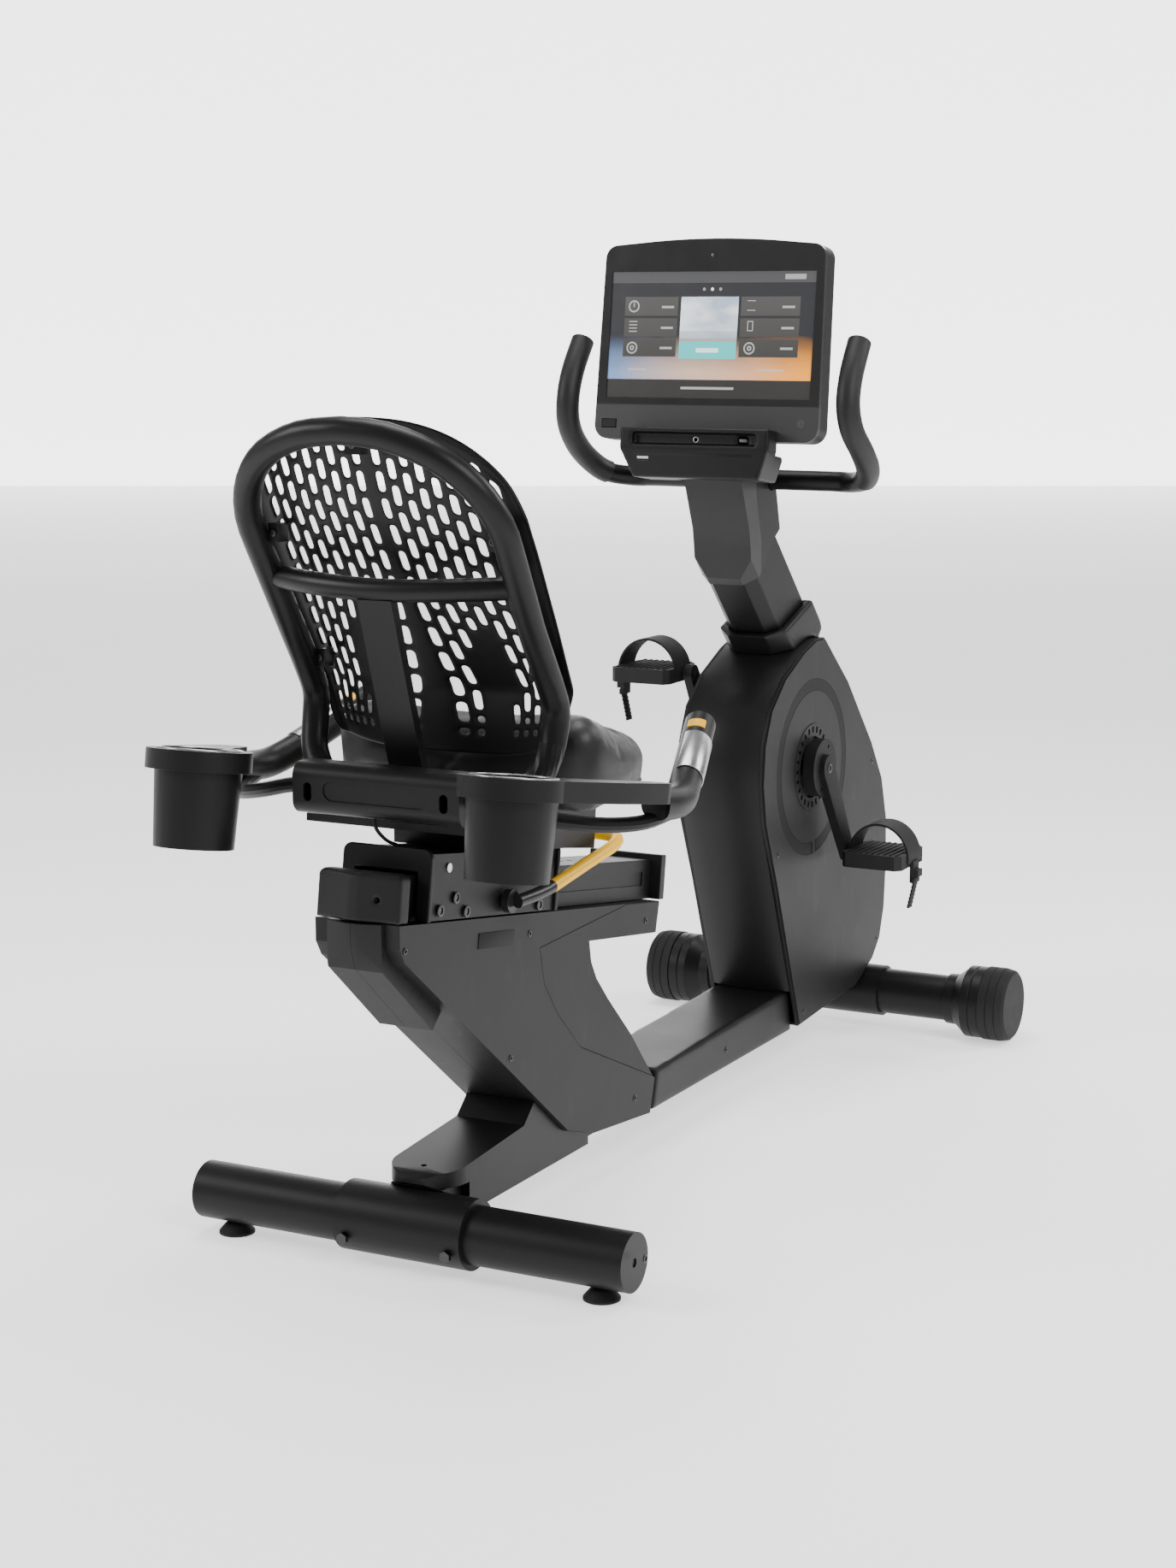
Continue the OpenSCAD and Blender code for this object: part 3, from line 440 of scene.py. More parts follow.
def modified(piece, kind, **settings):
    activate(piece)
    m = piece.modifiers.new(kind.title(), kind)
    for key, value in settings.items():
        setattr(m, key, value)
    if kind == "SUBSURF":
        m.render_levels = m.levels
    bpy.ops.object.modifier_apply(modifier=m.name)
    return piece


def eased(piece, width):
    """Rounds the sharp edges, by a width in mm."""
    return modified(
        piece,
        "BEVEL",
        width=width * MM,
        segments=2,
        limit_method="ANGLE",
        angle_limit=math.radians(50),
    )


def smooth(piece, degrees=35):
    activate(piece)
    bpy.ops.object.shade_smooth_by_angle(angle=math.radians(degrees))
    return piece


def outwards(piece):
    edit(piece)
    bpy.ops.mesh.remove_doubles(threshold=1e-5)
    bpy.ops.mesh.normals_make_consistent(inside=False)
    done()
    return piece


def kept(piece, name, material, body):
    """Names, paints and rides a finished piece."""
    piece.name = name
    piece.data.name = name
    piece.data.materials.clear()
    piece.data.materials.append(material)
    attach(piece, body)
    return piece


def added(primitive, **settings):
    clear_selection()
    getattr(bpy.ops.mesh, "primitive_" + primitive)(**settings)
    return bpy.context.object


def joined(pieces):
    clear_selection()
    for p in pieces:
        p.select_set(True)
    bpy.context.view_layer.objects.active = pieces[0]
    if len(pieces) > 1:
        bpy.ops.object.join()
    return bpy.context.object


def rounded_box(low, high, radius, segments=3):
    """A block with rounded edges, from its lowest and highest corners in mm."""
    low, high = Vector(low) * MM, Vector(high) * MM
    block = added("cube_add", size=1, location=(low + high) / 2, scale=high - low)
    placed(block)
    modified(block, "BEVEL", width=radius * MM, segments=segments, limit_method="NONE")
    return smooth(block, 40)


def disc(centre, axis, radius, depth, sides=40, bevel=0.0):
    """A round piece that starts at centre and goes along axis."""
    axis = Vector(axis).normalized()
    made = added(
        "cylinder_add",
        vertices=sides,
        radius=radius * MM,
        depth=depth * MM,
        location=Vector(centre) * MM + axis * depth * MM / 2,
        rotation=axis.to_track_quat("Z", "Y").to_euler(),
    )
    placed(made)
    if bevel:
        eased(made, bevel)
    return made


def circlet(radius, line, centre, major=36, minor=10):
    """A thin ring that faces back, in mm."""
    made = added(
        "torus_add",
        major_radius=radius * MM,
        minor_radius=line * MM,
        major_segments=major,
        minor_segments=minor,
        location=Vector(centre) * MM,
        rotation=(0, math.radians(90), 0),
    )
    return placed(made)


def body_of_node(node):
    return frame["nodes"][node]["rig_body"]


# The turn in degrees beyond which an edge is rounded, and how much of its smaller
# neighbouring face the rounding may take on outer and inner corners
SHARP_TURN = 28
OUTER_SHARE, INNER_SHARE = 0.45, 0.12


def weigh_edges(piece, width, angle):
    """Gives each sharp edge a bevel weight that its neighbouring faces have room for."""
    mesh = piece.data
    faces_of = {}
    for face in mesh.polygons:
        for pair in face.edge_keys:
            faces_of.setdefault(pair, []).append(face)
    weights = mesh.attributes.new("bevel_weight_edge", "FLOAT", "EDGE")
    turn = math.cos(math.radians(angle))
    for edge in mesh.edges:
        faces = faces_of.get(edge.key, ())
        if len(faces) != 2 or faces[0].normal.dot(faces[1].normal) > turn:
            continue
        ends = [mesh.vertices[v].co for v in edge.vertices]
        length = max((ends[0] - ends[1]).length, 1e-6)
        outer = (faces[1].center - faces[0].center).dot(faces[0].normal) < 0
        room = min(face.area / length for face in faces) * (OUTER_SHARE if outer else INNER_SHARE)
        weights.data[edge.index].value = min(1.0, room / (width * MM))


def copy_of(node, flat=None):
    """A merged copy of a CAD node's mesh. Faces that turn less than flat become one."""
    source = frame["nodes"][node]
    made = source.copy()
    made.data = source.data.copy()
    bpy.context.scene.collection.objects.link(made)
    made.parent = None
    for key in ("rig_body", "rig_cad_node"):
        if key in made:
            del made[key]
    edit(made)
    bpy.ops.mesh.remove_doubles(threshold=2e-5)
    bpy.ops.mesh.customdata_custom_splitnormals_clear()
    if flat is not None:
        bpy.ops.mesh.dissolve_limited(angle_limit=flat)
    done()
    return made


def skin_of(node, width):
    """A copy of a CAD node with rounded edges, which stands for it."""
    skin = copy_of(node, math.radians(0.6))
    if node in MELTED:
        voxel, passes = MELTED[node]
        modified(skin, "REMESH", mode="VOXEL", voxel_size=voxel * MM)
        modified(skin, "SMOOTH", factor=0.5, iterations=passes)
    elif width:
        weigh_edges(skin, width, SHARP_TURN)
        modified(
            skin,
            "BEVEL",
            width=width * MM,
            segments=3,
            limit_method="WEIGHT",
            use_clamp_overlap=True,
        )
    smooth(skin, 42)
    modified(skin, "WEIGHTED_NORMAL", keep_sharp=True, weight=50)
    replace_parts(skin, node)
    return skin


PAINTS = {}


def paint(name):
    """Makes each finish once, when it is first asked for."""
    s = bpy.context.scene.bike_finish
    makers = {
        "frame_paint": lambda: moulded("frame_paint", s.frame_tone, 1300, 0.10, 0.44, wear=0.3),
        "tube_paint": lambda: moulded(
            "tube_paint", s.frame_tone * 0.75, 1500, 0.04, 0.40, wear=0.2, coat=0.06
        ),
        "cover_grey": lambda: moulded("cover_grey", s.cover_tone, 1100, 0.14, 0.50, wear=0.4),
        "satin_grey": lambda: moulded("satin_grey", s.cover_tone * 2.6, 1500, 0.06, 0.40, wear=0.2),
        "cover_black": lambda: moulded("cover_black", s.cover_tone * 0.66, 1500, 0.07, 0.42, wear=0.3),
        "bezel_black": lambda: fascia("bezel_black"),
        "insert_black": lambda: moulded("insert_black", 0.005, 2200, 0.03, 0.60, wear=0.1),
        "lens_black": lambda: gloss("lens_black", (0.03, 0.03, 0.035, 1), 0.12, 0.18),
        "strip_black": lambda: moulded("strip_black", 0.010, 2200, 0.03, 0.32, wear=0.2),
        "bare_steel": lambda: steel("bare_steel"),
        "contact_silver": lambda: steel("contact_silver", 0.40, 0.30, (14, 14, 600)),
        "dark_steel": lambda: steel("dark_steel", 0.06, 0.34),
        "black_rubber": lambda: rubber("black_rubber", 0.006),
        "grip_foam": lambda: rubber("grip_foam", 0.007, 1100, 0.50),
        "seat_cover": lambda: vinyl("seat_cover", 0.006),
        "yellow": lambda: gloss("yellow", tuple(s.accent) + (1.0,)),
        "lever_yellow": lambda: lever_finish("lever_yellow", tuple(s.accent) + (1.0,)),
        "label_pale": lambda: gloss("label_pale", (0.55, 0.55, 0.55, 1), 0.4, 0.03),
        "plate_silver": lambda: gloss("plate_silver", (0.12, 0.12, 0.125, 1), 0.35),
        "screen_glass": lambda: display("screen_glass"),
    }
    if name not in PAINTS:
        PAINTS[name] = makers[name]()
    return PAINTS[name]


# Node, edge rounding in mm, finish, record slot
SKINS = [
    ("tray_left", 8.0, "cover_black", "cover_black"),
    ("tray_right", 8.0, "cover_black", "cover_black"),
    ("post_cover_left", 2.2, "cover_grey", "cover_grey"),
    ("post_cover_right", 2.2, "cover_grey", "cover_grey"),
    ("post_front_cover", 2.0, "cover_grey", "cover_grey"),
    ("beam_cover_rear", 8.0, "cover_black", "cover_black"),
    ("beam_cover_mid", 10.0, "cover_black", "cover_black"),
    ("shroud_left", 3.0, "cover_grey", "cover_grey"),
    ("shroud_right", 3.0, "cover_grey", "cover_grey"),
    ("shroud_rear_cover", 12.0, "cover_black", "cover_black"),
    ("rail_rear_cap", 5.0, "cover_grey", "cover_grey"),
    ("rail_front_cap", 1.5, "frame_paint", "frame_paint"),
    ("vent_rings", 0.7, "cover_grey", "cover_black"),
    ("mast_collar", 7.0, "cover_black", "cover_black"),
    ("mast", 2.0, "frame_paint", "frame_paint"),
    ("neck_cover_rear", 9.0, "satin_grey", "cover_grey"),
    ("neck_cover_front", 6.0, "cover_black", "cover_black"),
    ("console_back", 5.0, "cover_black", "cover_black"),
    ("console_bezel", 1.2, "bezel_black", "bezel_black"),
    ("console_pod", 5.0, "cover_black", "cover_grey"),
    ("power_button", 0.8, "cover_grey", "bezel_black"),
    ("carriage", 2.0, "frame_paint", "frame_paint"),
    ("carriage_plates", 2.0, "frame_paint", "frame_paint"),
    ("crossmember", 5.0, "frame_paint", "frame_paint"),
    ("seat_frame", 3.0, "frame_paint", "frame_paint"),
    ("seat_back_frame", 1.0, "tube_paint", "frame_paint"),
    ("handlebar", 0.0, "tube_paint", "frame_paint"),
    ("handlebar_grips", 0.0, "grip_foam", "black_rubber"),
    ("seat_lever", 0.0, "lever_yellow", "yellow"),
    ("grip_left", 0.6, "cover_black", "cover_black"),
    ("grip_right", 0.6, "cover_black", "cover_black"),
    ("grip_button_left", 0.8, "yellow", "yellow"),
    ("grip_button_right", 0.8, "yellow", "yellow"),
    ("crankset", 1.2, "insert_black", "bezel_black"),
    ("pedal_left", 1.6, "black_rubber", "black_rubber"),
    ("pedal_right", 1.6, "black_rubber", "black_rubber"),
    ("front_wheel_left", 2.0, "black_rubber", "black_rubber"),
    ("front_wheel_right", 2.0, "black_rubber", "black_rubber"),
    ("wheel_housings", 2.0, "cover_black", "cover_black"),
    ("rear_end_caps", 1.5, "cover_black", "cover_black"),
    ("rear_stabilizer", 0.8, "frame_paint", "frame_paint"),
    ("front_stabilizer", 0.8, "frame_paint", "frame_paint"),
    ("saddles", 1.6, "frame_paint", "frame_paint"),
    ("base_beam", 2.0, "frame_paint", "frame_paint"),
    ("foot_left", 0.8, "black_rubber", "black_rubber"),
    ("foot_right", 0.8, "black_rubber", "black_rubber"),
    ("sensor_lead", 0.0, "black_rubber", "black_rubber"),
    ("rail", 1.0, "frame_paint", "frame_paint"),
]
# Solid covers whose edges are rounded all over: voxel size in mm and smoothing passes
MELTED = {
    "beam_cover_mid": (3.0, 14),
    "console_pod": (2.2, 6),
    "mast_collar": (2.5, 10),
    "rail_rear_cap": (2.0, 8),
}
# CAD nodes that stay as they are
PLAIN = {
    "seat_post": "frame_paint",
    "drive_frame": "frame_paint",
    "saddle_bolts": "dark_steel",
    "rollers_rear": "bare_steel",
    "rollers_front": "bare_steel",
    "lock_pin": "bare_steel",
    "hub_bearings": "bare_steel",
    "flywheel": "bare_steel",
    "drive_belt": "black_rubber",
    "console_screen": "screen_glass",
}


# ---- Settings a user would change ----
class BikeFinish(bpy.types.PropertyGroup):
    frame_tone: bpy.props.FloatProperty(
        name="Frame tone", description="Lightness of the powder coat", default=0.0055, min=0.0, max=1.0
    )
    cover_tone: bpy.props.FloatProperty(
        name="Cover tone", description="Lightness of the moulded covers", default=0.0095, min=0.0, max=1.0
    )
    accent: bpy.props.FloatVectorProperty(
        name="Accent",
        description="Colour of the lever and thumb buttons",
        subtype="COLOR",
        default=(0.90, 0.48, 0.0),
    )


class BikeSeat(bpy.types.PropertyGroup):
    cushion_rise: bpy.props.FloatProperty(
        name="Cushion rise", description="How far the foam may swell", default=0.006, unit="LENGTH"
    )
    slot_columns: bpy.props.IntProperty(
        name="Columns of slots", description="Grid columns across the back shell", default=42, min=10
    )
    slot_rows: bpy.props.IntProperty(
        name="Rows of slots", description="Grid rows up the back shell", default=52, min=10
    )
    shell_thickness: bpy.props.FloatProperty(
        name="Shell thickness", description="Wall of the back shell", default=0.0045, unit="LENGTH"
    )


class BIKE_OT_skins(bpy.types.Operator):
    """Rounds the edges of the covers, tubes and castings and gives every part its finish"""

    bl_idname = "bike.skins"
    bl_label = "Covers and tubes"

    def execute(self, context):
        for node, width, finish, slot in SKINS:
            skin = skin_of(node, width)
            kept(skin, node + "_skin", paint(finish), body_of_node(node))
        for node, finish in PLAIN.items():
            for place in frame["nodes"][node].material_slots:
                place.material = paint(finish)
        return {"FINISHED"}


class BIKE_OT_cushion(bpy.types.Operator):
    """Makes the padded seat cushion with its welt"""

    bl_idname = "bike.cushion"
    bl_label = "Seat cushion"

    def execute(self, context):
        low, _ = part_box("seat_cushion")
        pad = copy_of("seat_cushion")
        modified(pad, "REMESH", mode="VOXEL", voxel_size=0.006)
        modified(pad, "SMOOTH", factor=0.5, iterations=6)
        rest = [v.co.copy() for v in pad.data.vertices]
        activate(pad)
        cloth = pad.modifiers.new("Cloth", "CLOTH")
        cloth.settings.effector_weights.gravity = 0
        cloth.settings.use_pressure = True
        cloth.settings.uniform_pressure_force = 4
        cloth.settings.quality = 5
        for number in range(1, 21):
            context.scene.frame_set(number)
        bpy.ops.object.modifier_apply(modifier=cloth.name)
        context.scene.frame_set(1)
        cap = context.scene.bike_seat.cushion_rise
        floor_z = low.z + 0.0005
        for v, start in zip(pad.data.vertices, rest):
            move = v.co - start
            if move.length > cap:
                v.co = start + move * (cap / move.length)
            # a shallow hollow where the rider sits
            across = min(1.0, abs(v.co.y) / 0.17)
            if v.co.z > 0.63:
                v.co.z -= 0.007 * (1 - across * across) * min(1.0, (v.co.z - 0.63) / 0.03)
            v.co.z = max(v.co.z, floor_z)
        modified(pad, "SUBSURF", levels=1)
        smooth(pad, 60)
        kept(pad, "seat_cushion_pad", paint("seat_cover"), "seat_carriage")
        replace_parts(pad, "seat_cushion")
        # the welt that closes the cover's lower edge
        welt = pad.copy()
        welt.data = pad.data.copy()
        if "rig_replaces" in welt:
            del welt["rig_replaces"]
        context.scene.collection.objects.link(welt)
        welt.parent = None
        edit(welt)
        bpy.ops.mesh.bisect(
            plane_co=(0, 0, 0.617), plane_no=(0.0, 0, 1), clear_inner=True, clear_outer=True, use_fill=False
        )
        done()
        activate(welt)
        bpy.ops.object.convert(target="CURVE")
        welt = context.object
        welt.data.bevel_depth = 0.0022
        welt.data.bevel_resolution = 2
        bpy.ops.object.convert(target="MESH")
        welt = context.object
        smooth(outwards(welt), 60)
        kept(welt, "seat_cushion_welt", paint("seat_cover"), "seat_carriage")
        return {"FINISHED"}


def back_x(z):
    """How far forward the leaning tube is at a height, in mm."""
    return BACK_X - (z - BACK_Z) * math.tan(BACK_LEAN)


def shell_point(s, t):
    """A point of the back shell: s runs across from -1 to 1 and t up from 0 to 1. In mm."""
    lift = 16 * abs(s) ** 3
    top = SHELL_SHOULDER + (SHELL_TOP - SHELL_SHOULDER) * max(0.0, 1 - abs(s) ** 2.7) ** 0.5
    z = SHELL_FOOT + lift + t * (top - SHELL_FOOT - lift)
    for (z0, w0), (z1, w1) in zip(SHELL_HALF_WIDTHS, SHELL_HALF_WIDTHS[1:]):
        if z <= z1 or z1 == SHELL_TOP:
            half = w0 + (w1 - w0) * (z - z0) / (z1 - z0)
            break
    low = min(1.0, max(0.0, (905 - z) / 190))
    flow = math.copysign(abs(s) ** (1 - 0.42 * low), s) if s else 0.0
    y = half * flow
    crown = 34 * (1 - (abs(y) / 200) ** 2) * min(1, (1135 - z) / 135)
    edge = max(0.0, (abs(s) - 0.90) / 0.10, (t - 0.955) / 0.045)
    x = back_x(max(z, SHELL_WAIST)) + 52 - crown * 0.9
    x += max(0.0, SHELL_WAIST - z) * 0.1 - 9 * edge * edge
    return Vector((x, y, z)) * MM



class BIKE_OT_back_shell(bpy.types.Operator):
    """Makes the perforated shell of the seat back"""

    bl_idname = "bike.back_shell"
    bl_label = "Seat back shell"

    def execute(self, context):
        seat = context.scene.bike_seat
        columns, rows = seat.slot_columns, seat.slot_rows
        shell = added("grid_add", x_subdivisions=columns, y_subdivisions=rows, size=2)
        wide, tall = 2.0 / columns, 2.0 / rows

        def is_slot(face):
            c = face.center
            i = int((c.x + 1) / wide)
            j = int((c.y + 1) / tall)
            if i < 2 or i > columns - 3 or j < 3 or j > rows - 4:
                return False
            k = i - columns // 2
            if k < 0:
                k = -k - 1
            if k % 2 == 0:
                return False
            web = (j + (2 if (k // 2) % 2 else 0)) % 4
            if web == 0:
                return False
            place = shell_point(c.x, (c.y + 1) / 2) / MM
            solid = ((abs(place.y) - 88) / 26) ** 2 + ((place.z - 770) / 74) ** 2 < 1
            plain = abs(place.y) > 60 and place.z < 715 and (j // 4) % 2
            return not (solid or plain)

        edit(shell, is_slot)
        bpy.ops.mesh.delete(type="FACE")
        done()
        for v in shell.data.vertices:
            v.co = shell_point(v.co.x, (v.co.y + 1) / 2)
        modified(shell, "SOLIDIFY", thickness=seat.shell_thickness, offset=0.0)
        modified(shell, "SUBSURF", levels=2)
        smooth(outwards(shell), 60)
        kept(shell, "seat_back_shell_slotted", paint("cover_black"), "seat_carriage")
        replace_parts(shell, "seat_back_shell")
        return {"FINISHED"}


def screw(centre, axis, radius=5.0, recess=3.0):
    """A button-head screw with a socket, its foot at centre, in mm."""
    axis = Vector(axis).normalized()
    head = disc(centre, axis, radius, 2.2, 24, 0.7)
    top = max((p for p in head.data.polygons if p.normal.dot(axis) > 0.95), key=lambda p: p.area)
    index = top.index
    edit(head, lambda p: p.index == index)
    bpy.ops.mesh.inset(thickness=(radius - recess) * 0.55 * MM, depth=0)
    bpy.ops.mesh.extrude_region_move(TRANSFORM_OT_translate={"value": axis * -1.3 * MM})
    done()
    return smooth(head, 40)


class BIKE_OT_screws(bpy.types.Operator):
    """Adds the screws of the covers, the base and the seat"""

    bl_idname = "bike.screws"
    bl_label = "Screws"

    def execute(self, context):
        panel = [(773.8, 470.7), (368.5, 376.3), (810.1, 149.4), (482.7, 91.4)]
        post = [(-762, 452), (-438.9, 409.5), (-84.7, 357), (-493.0, 249.3), (-118, 97)]
        made = []
        for side in (-1, 1):
            made += [screw((x, side * 74.6, z), (0, side, 0), 4.2, 2.2) for x, z in panel]
            made += [screw((x, side * 61.0, z), (0, side, 0), 4.6, 2.4) for x, z in post]
            made.append(screw((204.4, side * 61.0, 91.8), (0, side, 0), 4.2, 2.2))
            made.append(screw((-648, side * 339, 63), (0, side, 0), 5.5, 3.0))
            made.append(screw((HUB_X * 1000, side * 106.5, HUB_Z * 1000), (0, side, 0), 8.0, 4.5))
        kept(joined(made), "cover_screws", paint("dark_steel"), "frame")
        moving = []
        for u, v in ((133, 29), (94, 14), (361, 10), (162, 10)):
            for side in (-1, 1):
                x, z = rail_to_row(u, v)
                moving.append(screw((x, side * 63.6, z), (0, side, 0), 8.0, 4.0))
        for y, z in ((152, 790), (152, 961)):
            for side in (-1, 1):
                moving.append(screw((back_x(z) + 7.6, side * (y + 8), z), (-1, 0, 0), 5.0, 2.8))
        moving.append(screw((back_x(1076) + 13.6, 0, 1078), (-1, 0, 0), 5.0, 2.8))
        kept(joined(moving), "seat_screws", paint("dark_steel"), "seat_carriage")
        return {"FINISHED"}


def rail_to_row(u, v):
    """Rail-frame place (along, above) to row x and z, in mm."""
    c, s = math.cos(SEAT_SLOPE), math.sin(SEAT_SLOPE)
    return -774 + c * u + s * v, 488 - s * u + c * v


class BIKE_OT_housing_trim(bpy.types.Operator):
    """Adds the dark ring inlays on the drive housing and the blank plate on the right side of the seat post
    """

    bl_idname = "bike.housing_trim"
    bl_label = "Housing trim"

    def execute(self, context):
        for side, name in ((-1, "right"), (1, "left")):
            ring = added(
                "circle_add",
                vertices=128,
                radius=145.6 * MM,
                fill_type="NGON",
                location=(HUB_X, side * 75.5 * MM, HUB_Z),
                rotation=(math.radians(90), 0, 0),
            )
            placed(ring)
            edit(ring)
            bpy.ops.mesh.inset(thickness=19.2 * MM)
            bpy.ops.mesh.delete(type="FACE")
            done()
            edit(ring, lambda p: abs(p.center.x - HUB_X - 0.011) < 0.008 and p.center.z < HUB_Z)
            bpy.ops.mesh.delete(type="FACE")
            done()
            modified(ring, "SOLIDIFY", thickness=0.6 * MM, offset=0.0)
            modified(ring, "BEVEL", width=0.2 * MM, segments=1, limit_method="ANGLE")
            smooth(outwards(ring), 40)
            kept(ring, "ring_inlay_" + name, paint("insert_black"), "frame")
        plate = rounded_box((-48, -1.2, -10.5), (48, 1.0, 10.5), 0.5, 2)
        turn = Matrix.Translation((-0.531, -0.0620, 0.4205)) @ Matrix.Rotation(SEAT_SLOPE, 4, "Y")
        plate.matrix_world = turn
        placed(plate)
        kept(plate, "blank_plate", paint("insert_black"), "frame")
        return {"FINISHED"}


class BIKE_OT_console_trim(bpy.types.Operator):
    """Adds the camera lens, ports, blank strip with its marks and reader mark of the console"""

    bl_idname = "bike.console_trim"
    bl_label = "Console trim"

    def execute(self, context):
        turn = Matrix.Translation(CONSOLE_AT) @ Matrix.Rotation(CONSOLE_TILT, 4, "Y")

        def on_console(piece):
            piece.matrix_world = turn
            return placed(piece)

        lens = disc((-4.9, 0, 121), (-1, 0, 0), 3.6, 0.8, 32, 0.3)
        on_console(lens)
        kept(smooth(lens), "camera_lens", paint("lens_black"), "frame")
        port = rounded_box((-31.0, -85, -165.5), (-16, -73, -160.5), 0.8, 2)
        on_console(port)
        kept(port, "usb_port", paint("plate_silver"), "frame")
        jack = circlet(4.0, 1.0, (-30.2, 0, -163))
        on_console(jack)
        kept(smooth(jack, 60), "jack_ring", paint("contact_silver"), "frame")
        slant = math.atan2(14, 38)
        strip_turn = turn @ Matrix.Translation((-35.2 * MM, 0, -195 * MM)) @ Matrix.Rotation(-slant, 4, "Y")
        strip = rounded_box((-1.0, -101, -12), (0.8, 101, 12), 0.8, 2)
        strip.matrix_world = strip_turn
        kept(placed(strip), "blank_strip", paint("strip_black"), "frame")
        marks = [rounded_box((-1.4, 76, z - 2), (-0.9, 95, z + 2), 0.2, 1) for z in (3.4, -3.4)]
        marks = joined(marks)
        marks.matrix_world = strip_turn
        kept(placed(marks), "strip_marks", paint("label_pale"), "frame")
        reader = (-4.2, -161, -134)
        mark = joined([circlet(5.2, 0.35, reader, minor=6), circlet(2.6, 0.35, reader, 24, 6)])
        on_console(mark)
        kept(smooth(mark, 60), "reader_mark", paint("plate_silver"), "frame")
        return {"FINISHED"}


class BIKE_OT_hand_parts(bpy.types.Operator):
    """Adds the contact plates on the side grips, and bright silver rings on the cups' upper lips that are a
    painted highlight
    """

    bl_idname = "bike.hand_parts"
    bl_label = "Contact plates and cup lip highlights"

    def execute(self, context):
        for side, name in ((-1, "right"), (1, "left")):
            axis = Vector((0.883, -0.273 * side, 0.383)).normalized()
            plate = added(
                "cylinder_add",
                vertices=64,
                radius=21.7 * MM,
                depth=88 * MM,
                end_fill_type="NOTHING",
                location=Vector((-410, side * 287.0, 657.4)) * MM,
                rotation=axis.to_track_quat("Z", "Y").to_euler(),
            )
            placed(plate)
            outer = Vector((0.05, side * 0.8, 0.6)).normalized()
            edit(plate, lambda p: p.normal.dot(outer) < 0.12)
            bpy.ops.mesh.delete(type="FACE")
            done()
            modified(plate, "SOLIDIFY", thickness=1.4 * MM, offset=0.0)
            eased(plate, 0.4)
            smooth(outwards(plate), 50)
            kept(plate, "contact_plate_" + name, paint("contact_silver"), "seat_carriage")
            # a thin bright silver ring on each cup's upper lip: a painted highlight where the lip catches
            # the light, not a separate part
            lip_highlight = added(
                "torus_add",
                major_radius=53.6 * MM,
                minor_radius=1.9 * MM,
                major_segments=96,
                minor_segments=12,
                location=(-0.781, side * 0.228, 0.6882),
                rotation=(0, SEAT_SLOPE, 0),
            )
            placed(lip_highlight)
            kept(smooth(lip_highlight, 60), "cup_lip_highlight_" + name, paint("contact_silver"), "seat_carriage")
        return {"FINISHED"}


class BIKE_OT_pedal_parts(bpy.types.Operator):
    """Adds the ribs of the pedal platforms and the serrated tails of the straps"""

    bl_idname = "bike.pedal_parts"
    bl_label = "Pedal ribs and strap tails"

    def execute(self, context):
        for side, name in ((-1, "right"), (1, "left")):
            x = HUB_X * 1000 - side * CRANK_LENGTH * math.sin(CRANK_TURN)
            z = HUB_Z * 1000 + side * CRANK_LENGTH * math.cos(CRANK_TURN)
            made = []
            for k in range(9):
                y = 132 + k * 10.4
                made.append(rounded_box((x - 54, y - 1.8, z + 10.2), (x + 54, y + 1.8, z + 12.6), 0.7, 2))
            for k in range(7):
                low, high = z - 46 - k * 6.4, z - 40 - k * 6.4
                y = 227.2 - k * 1.4
                made.append(rounded_box((x - 9, y, low), (x + 9, y + 3.4, high + 0.6), 0.8, 2))
            made.append(rounded_box((x - 13, 226, z - 41), (x + 13, 233, z - 31), 1.6, 2))
            whole = joined(made)
            if side < 0:
                whole.scale = (1, -1, 1)
                placed(whole)
                outwards(whole)
                smooth(whole, 40)
            kept(whole, "pedal_ribs_" + name, paint("black_rubber"), "pedal_" + name)
        return {"FINISHED"}


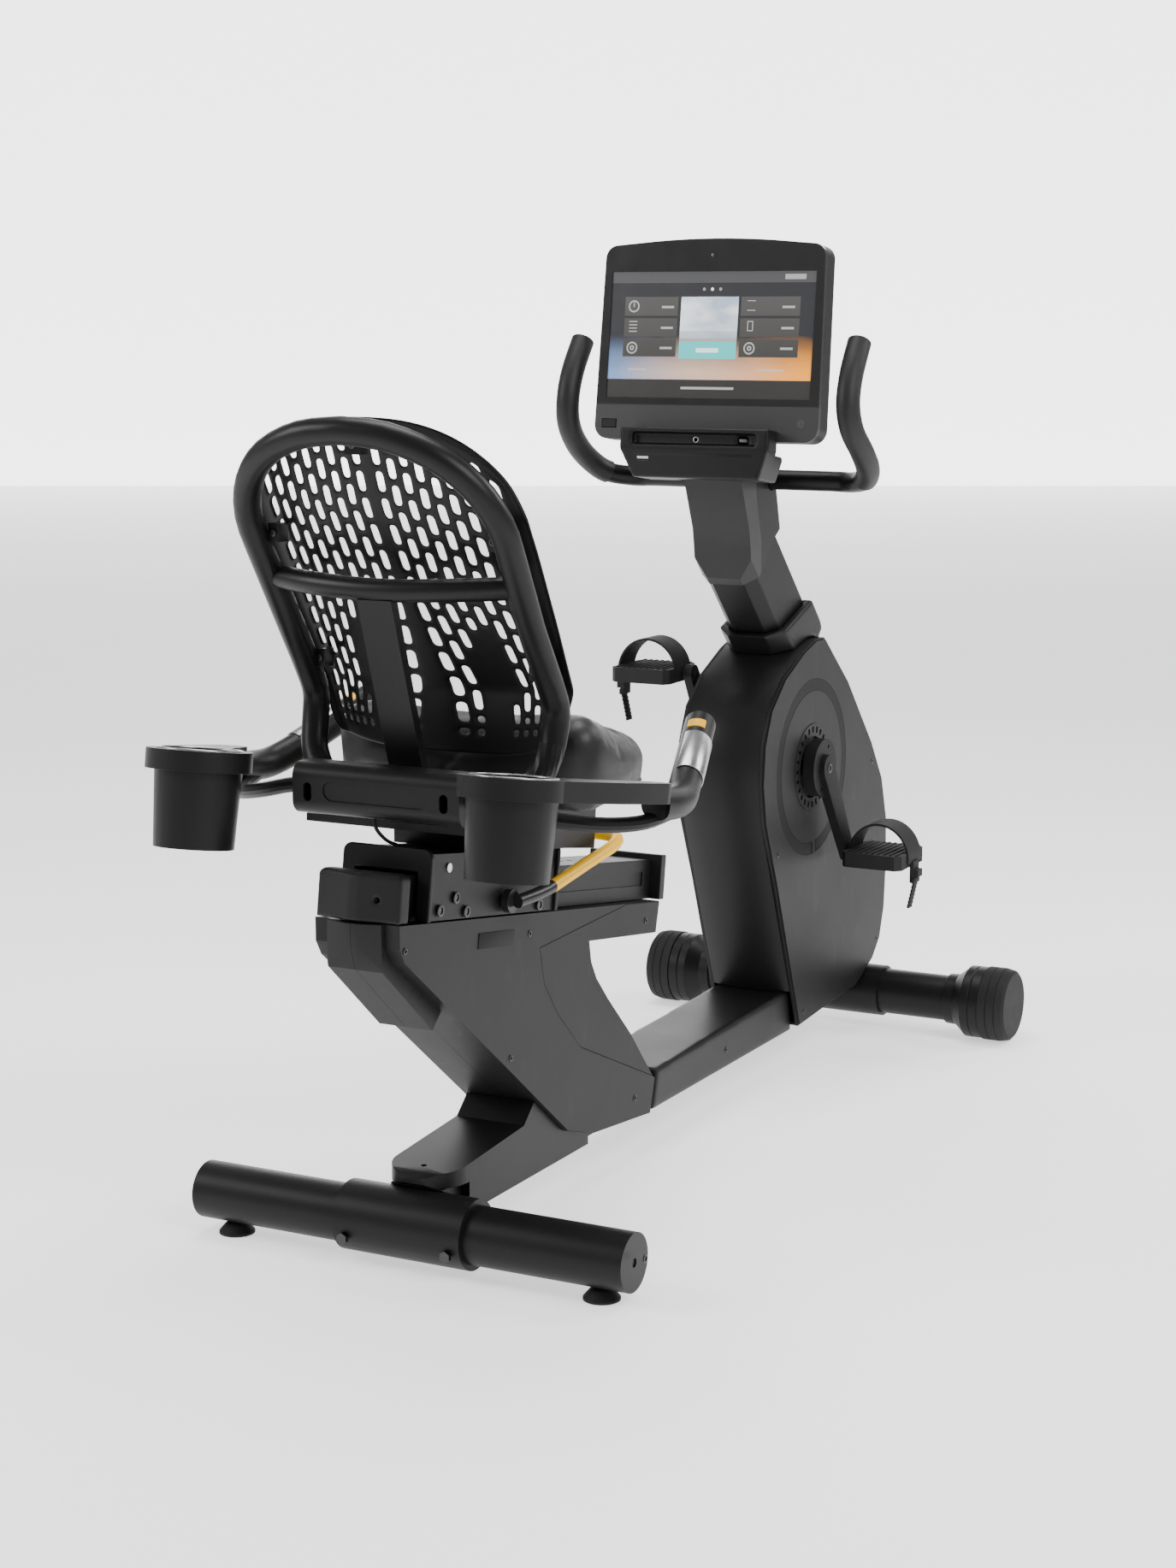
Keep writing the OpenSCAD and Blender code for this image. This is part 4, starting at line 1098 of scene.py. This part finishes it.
class BIKE_OT_stage(bpy.types.Operator):
    """Makes the pale floor, the soft studio lights and the camera"""

    bl_idname = "bike.stage"
    bl_label = "Floor, lights and camera"

    def execute(self, context):
        floor = added("plane_add", size=60, location=(0, 0, -0.0005))
        floor.name = "studio_floor"
        f = Finish("studio_floor", Roughness=0.9, Specular_IOR_Level=0.1, Emission_Strength=0.95)
        pale = f.blend(f.noise(0.8, 2.0), (0.91, 0.91, 0.91, 1), (0.94, 0.94, 0.94, 1))
        f.set(Base_Color=pale, Emission_Color=pale)
        floor.data.materials.append(f.material)
        world = bpy.data.worlds.new("studio")
        context.scene.world = world
        world.use_nodes = True
        world.node_tree.nodes["Background"].inputs["Color"].default_value = (1, 1, 1, 1)
        world.node_tree.nodes["Background"].inputs["Strength"].default_value = 0.42
        away = Vector((CAMERA_AHEAD.x, CAMERA_AHEAD.y, 0)).normalized()
        backdrop = added(
            "plane_add",
            size=BACKDROP_SIZE,
            location=away * BACKDROP_FAR,
            rotation=away.to_track_quat("Z", "Y").to_euler(),
        )
        backdrop.name = "studio_backdrop"
        sheet = Finish("studio_backdrop", Roughness=0.9, Specular_IOR_Level=0.0, Emission_Strength=3.0)
        sheet.set(Emission_Color=sheet.blend(sheet.noise(0.3, 1.0), (0.98, 0.98, 0.98, 1), (1, 1, 1, 1)))
        backdrop.data.materials.append(sheet.material)
        for number, (place, target, size, power) in enumerate(SOFTBOXES):
            data = bpy.data.lights.new(f"softbox_{number}", "AREA")
            data.shape = "SQUARE"
            data.size, data.energy = size, power
            lamp = bpy.data.objects.new(f"softbox_{number}", data)
            lamp.location = place
            lamp.rotation_euler = (Vector(target) - Vector(place)).to_track_quat("-Z", "Y").to_euler()
            context.scene.collection.objects.link(lamp)
        data = bpy.data.cameras.new("camera")
        data.sensor_width = 36
        data.lens = CAMERA_LENS
        data.shift_x, data.shift_y = CAMERA_SHIFT
        data.clip_start, data.clip_end = 0.1, 100
        camera = bpy.data.objects.new("camera", data)
        context.scene.collection.objects.link(camera)
        turn = Matrix((CAMERA_RIGHT, CAMERA_UP, -CAMERA_AHEAD)).transposed().to_4x4()
        camera.matrix_world = Matrix.Translation(CAMERA_AT) @ turn
        context.scene.camera = camera
        return {"FINISHED"}


OPERATORS = (
    BIKE_OT_stage,
    BIKE_OT_skins,
    BIKE_OT_cushion,
    BIKE_OT_back_shell,
    BIKE_OT_screws,
    BIKE_OT_housing_trim,
    BIKE_OT_console_trim,
    BIKE_OT_hand_parts,
    BIKE_OT_pedal_parts,
)


class BIKE_PT_panel(bpy.types.Panel):
    """Lists the settings and the pieces"""

    bl_idname = "BIKE_PT_panel"
    bl_label = "Exercise bike"
    bl_space_type = "VIEW_3D"
    bl_region_type = "UI"
    bl_category = "Exercise bike"

    def draw(self, context):
        for group in (context.scene.bike_finish, context.scene.bike_seat):
            for name in group.__annotations__:
                self.layout.prop(group, name)
        for operator in OPERATORS:
            self.layout.operator(operator.bl_idname)


CLASSES = (BikeFinish, BikeSeat, *OPERATORS, BIKE_PT_panel)


def register():
    for c in CLASSES:
        bpy.utils.register_class(c)
    bpy.types.Scene.bike_finish = bpy.props.PointerProperty(type=BikeFinish)
    bpy.types.Scene.bike_seat = bpy.props.PointerProperty(type=BikeSeat)


def unregister():
    del bpy.types.Scene.bike_seat
    del bpy.types.Scene.bike_finish
    for c in reversed(CLASSES):
        bpy.utils.unregister_class(c)


def main():
    register()
    for operator in OPERATORS:
        group, name = operator.bl_idname.split(".")
        getattr(getattr(bpy.ops, group), name)()
    clear_selection()


if __name__ == "__main__":
    main()
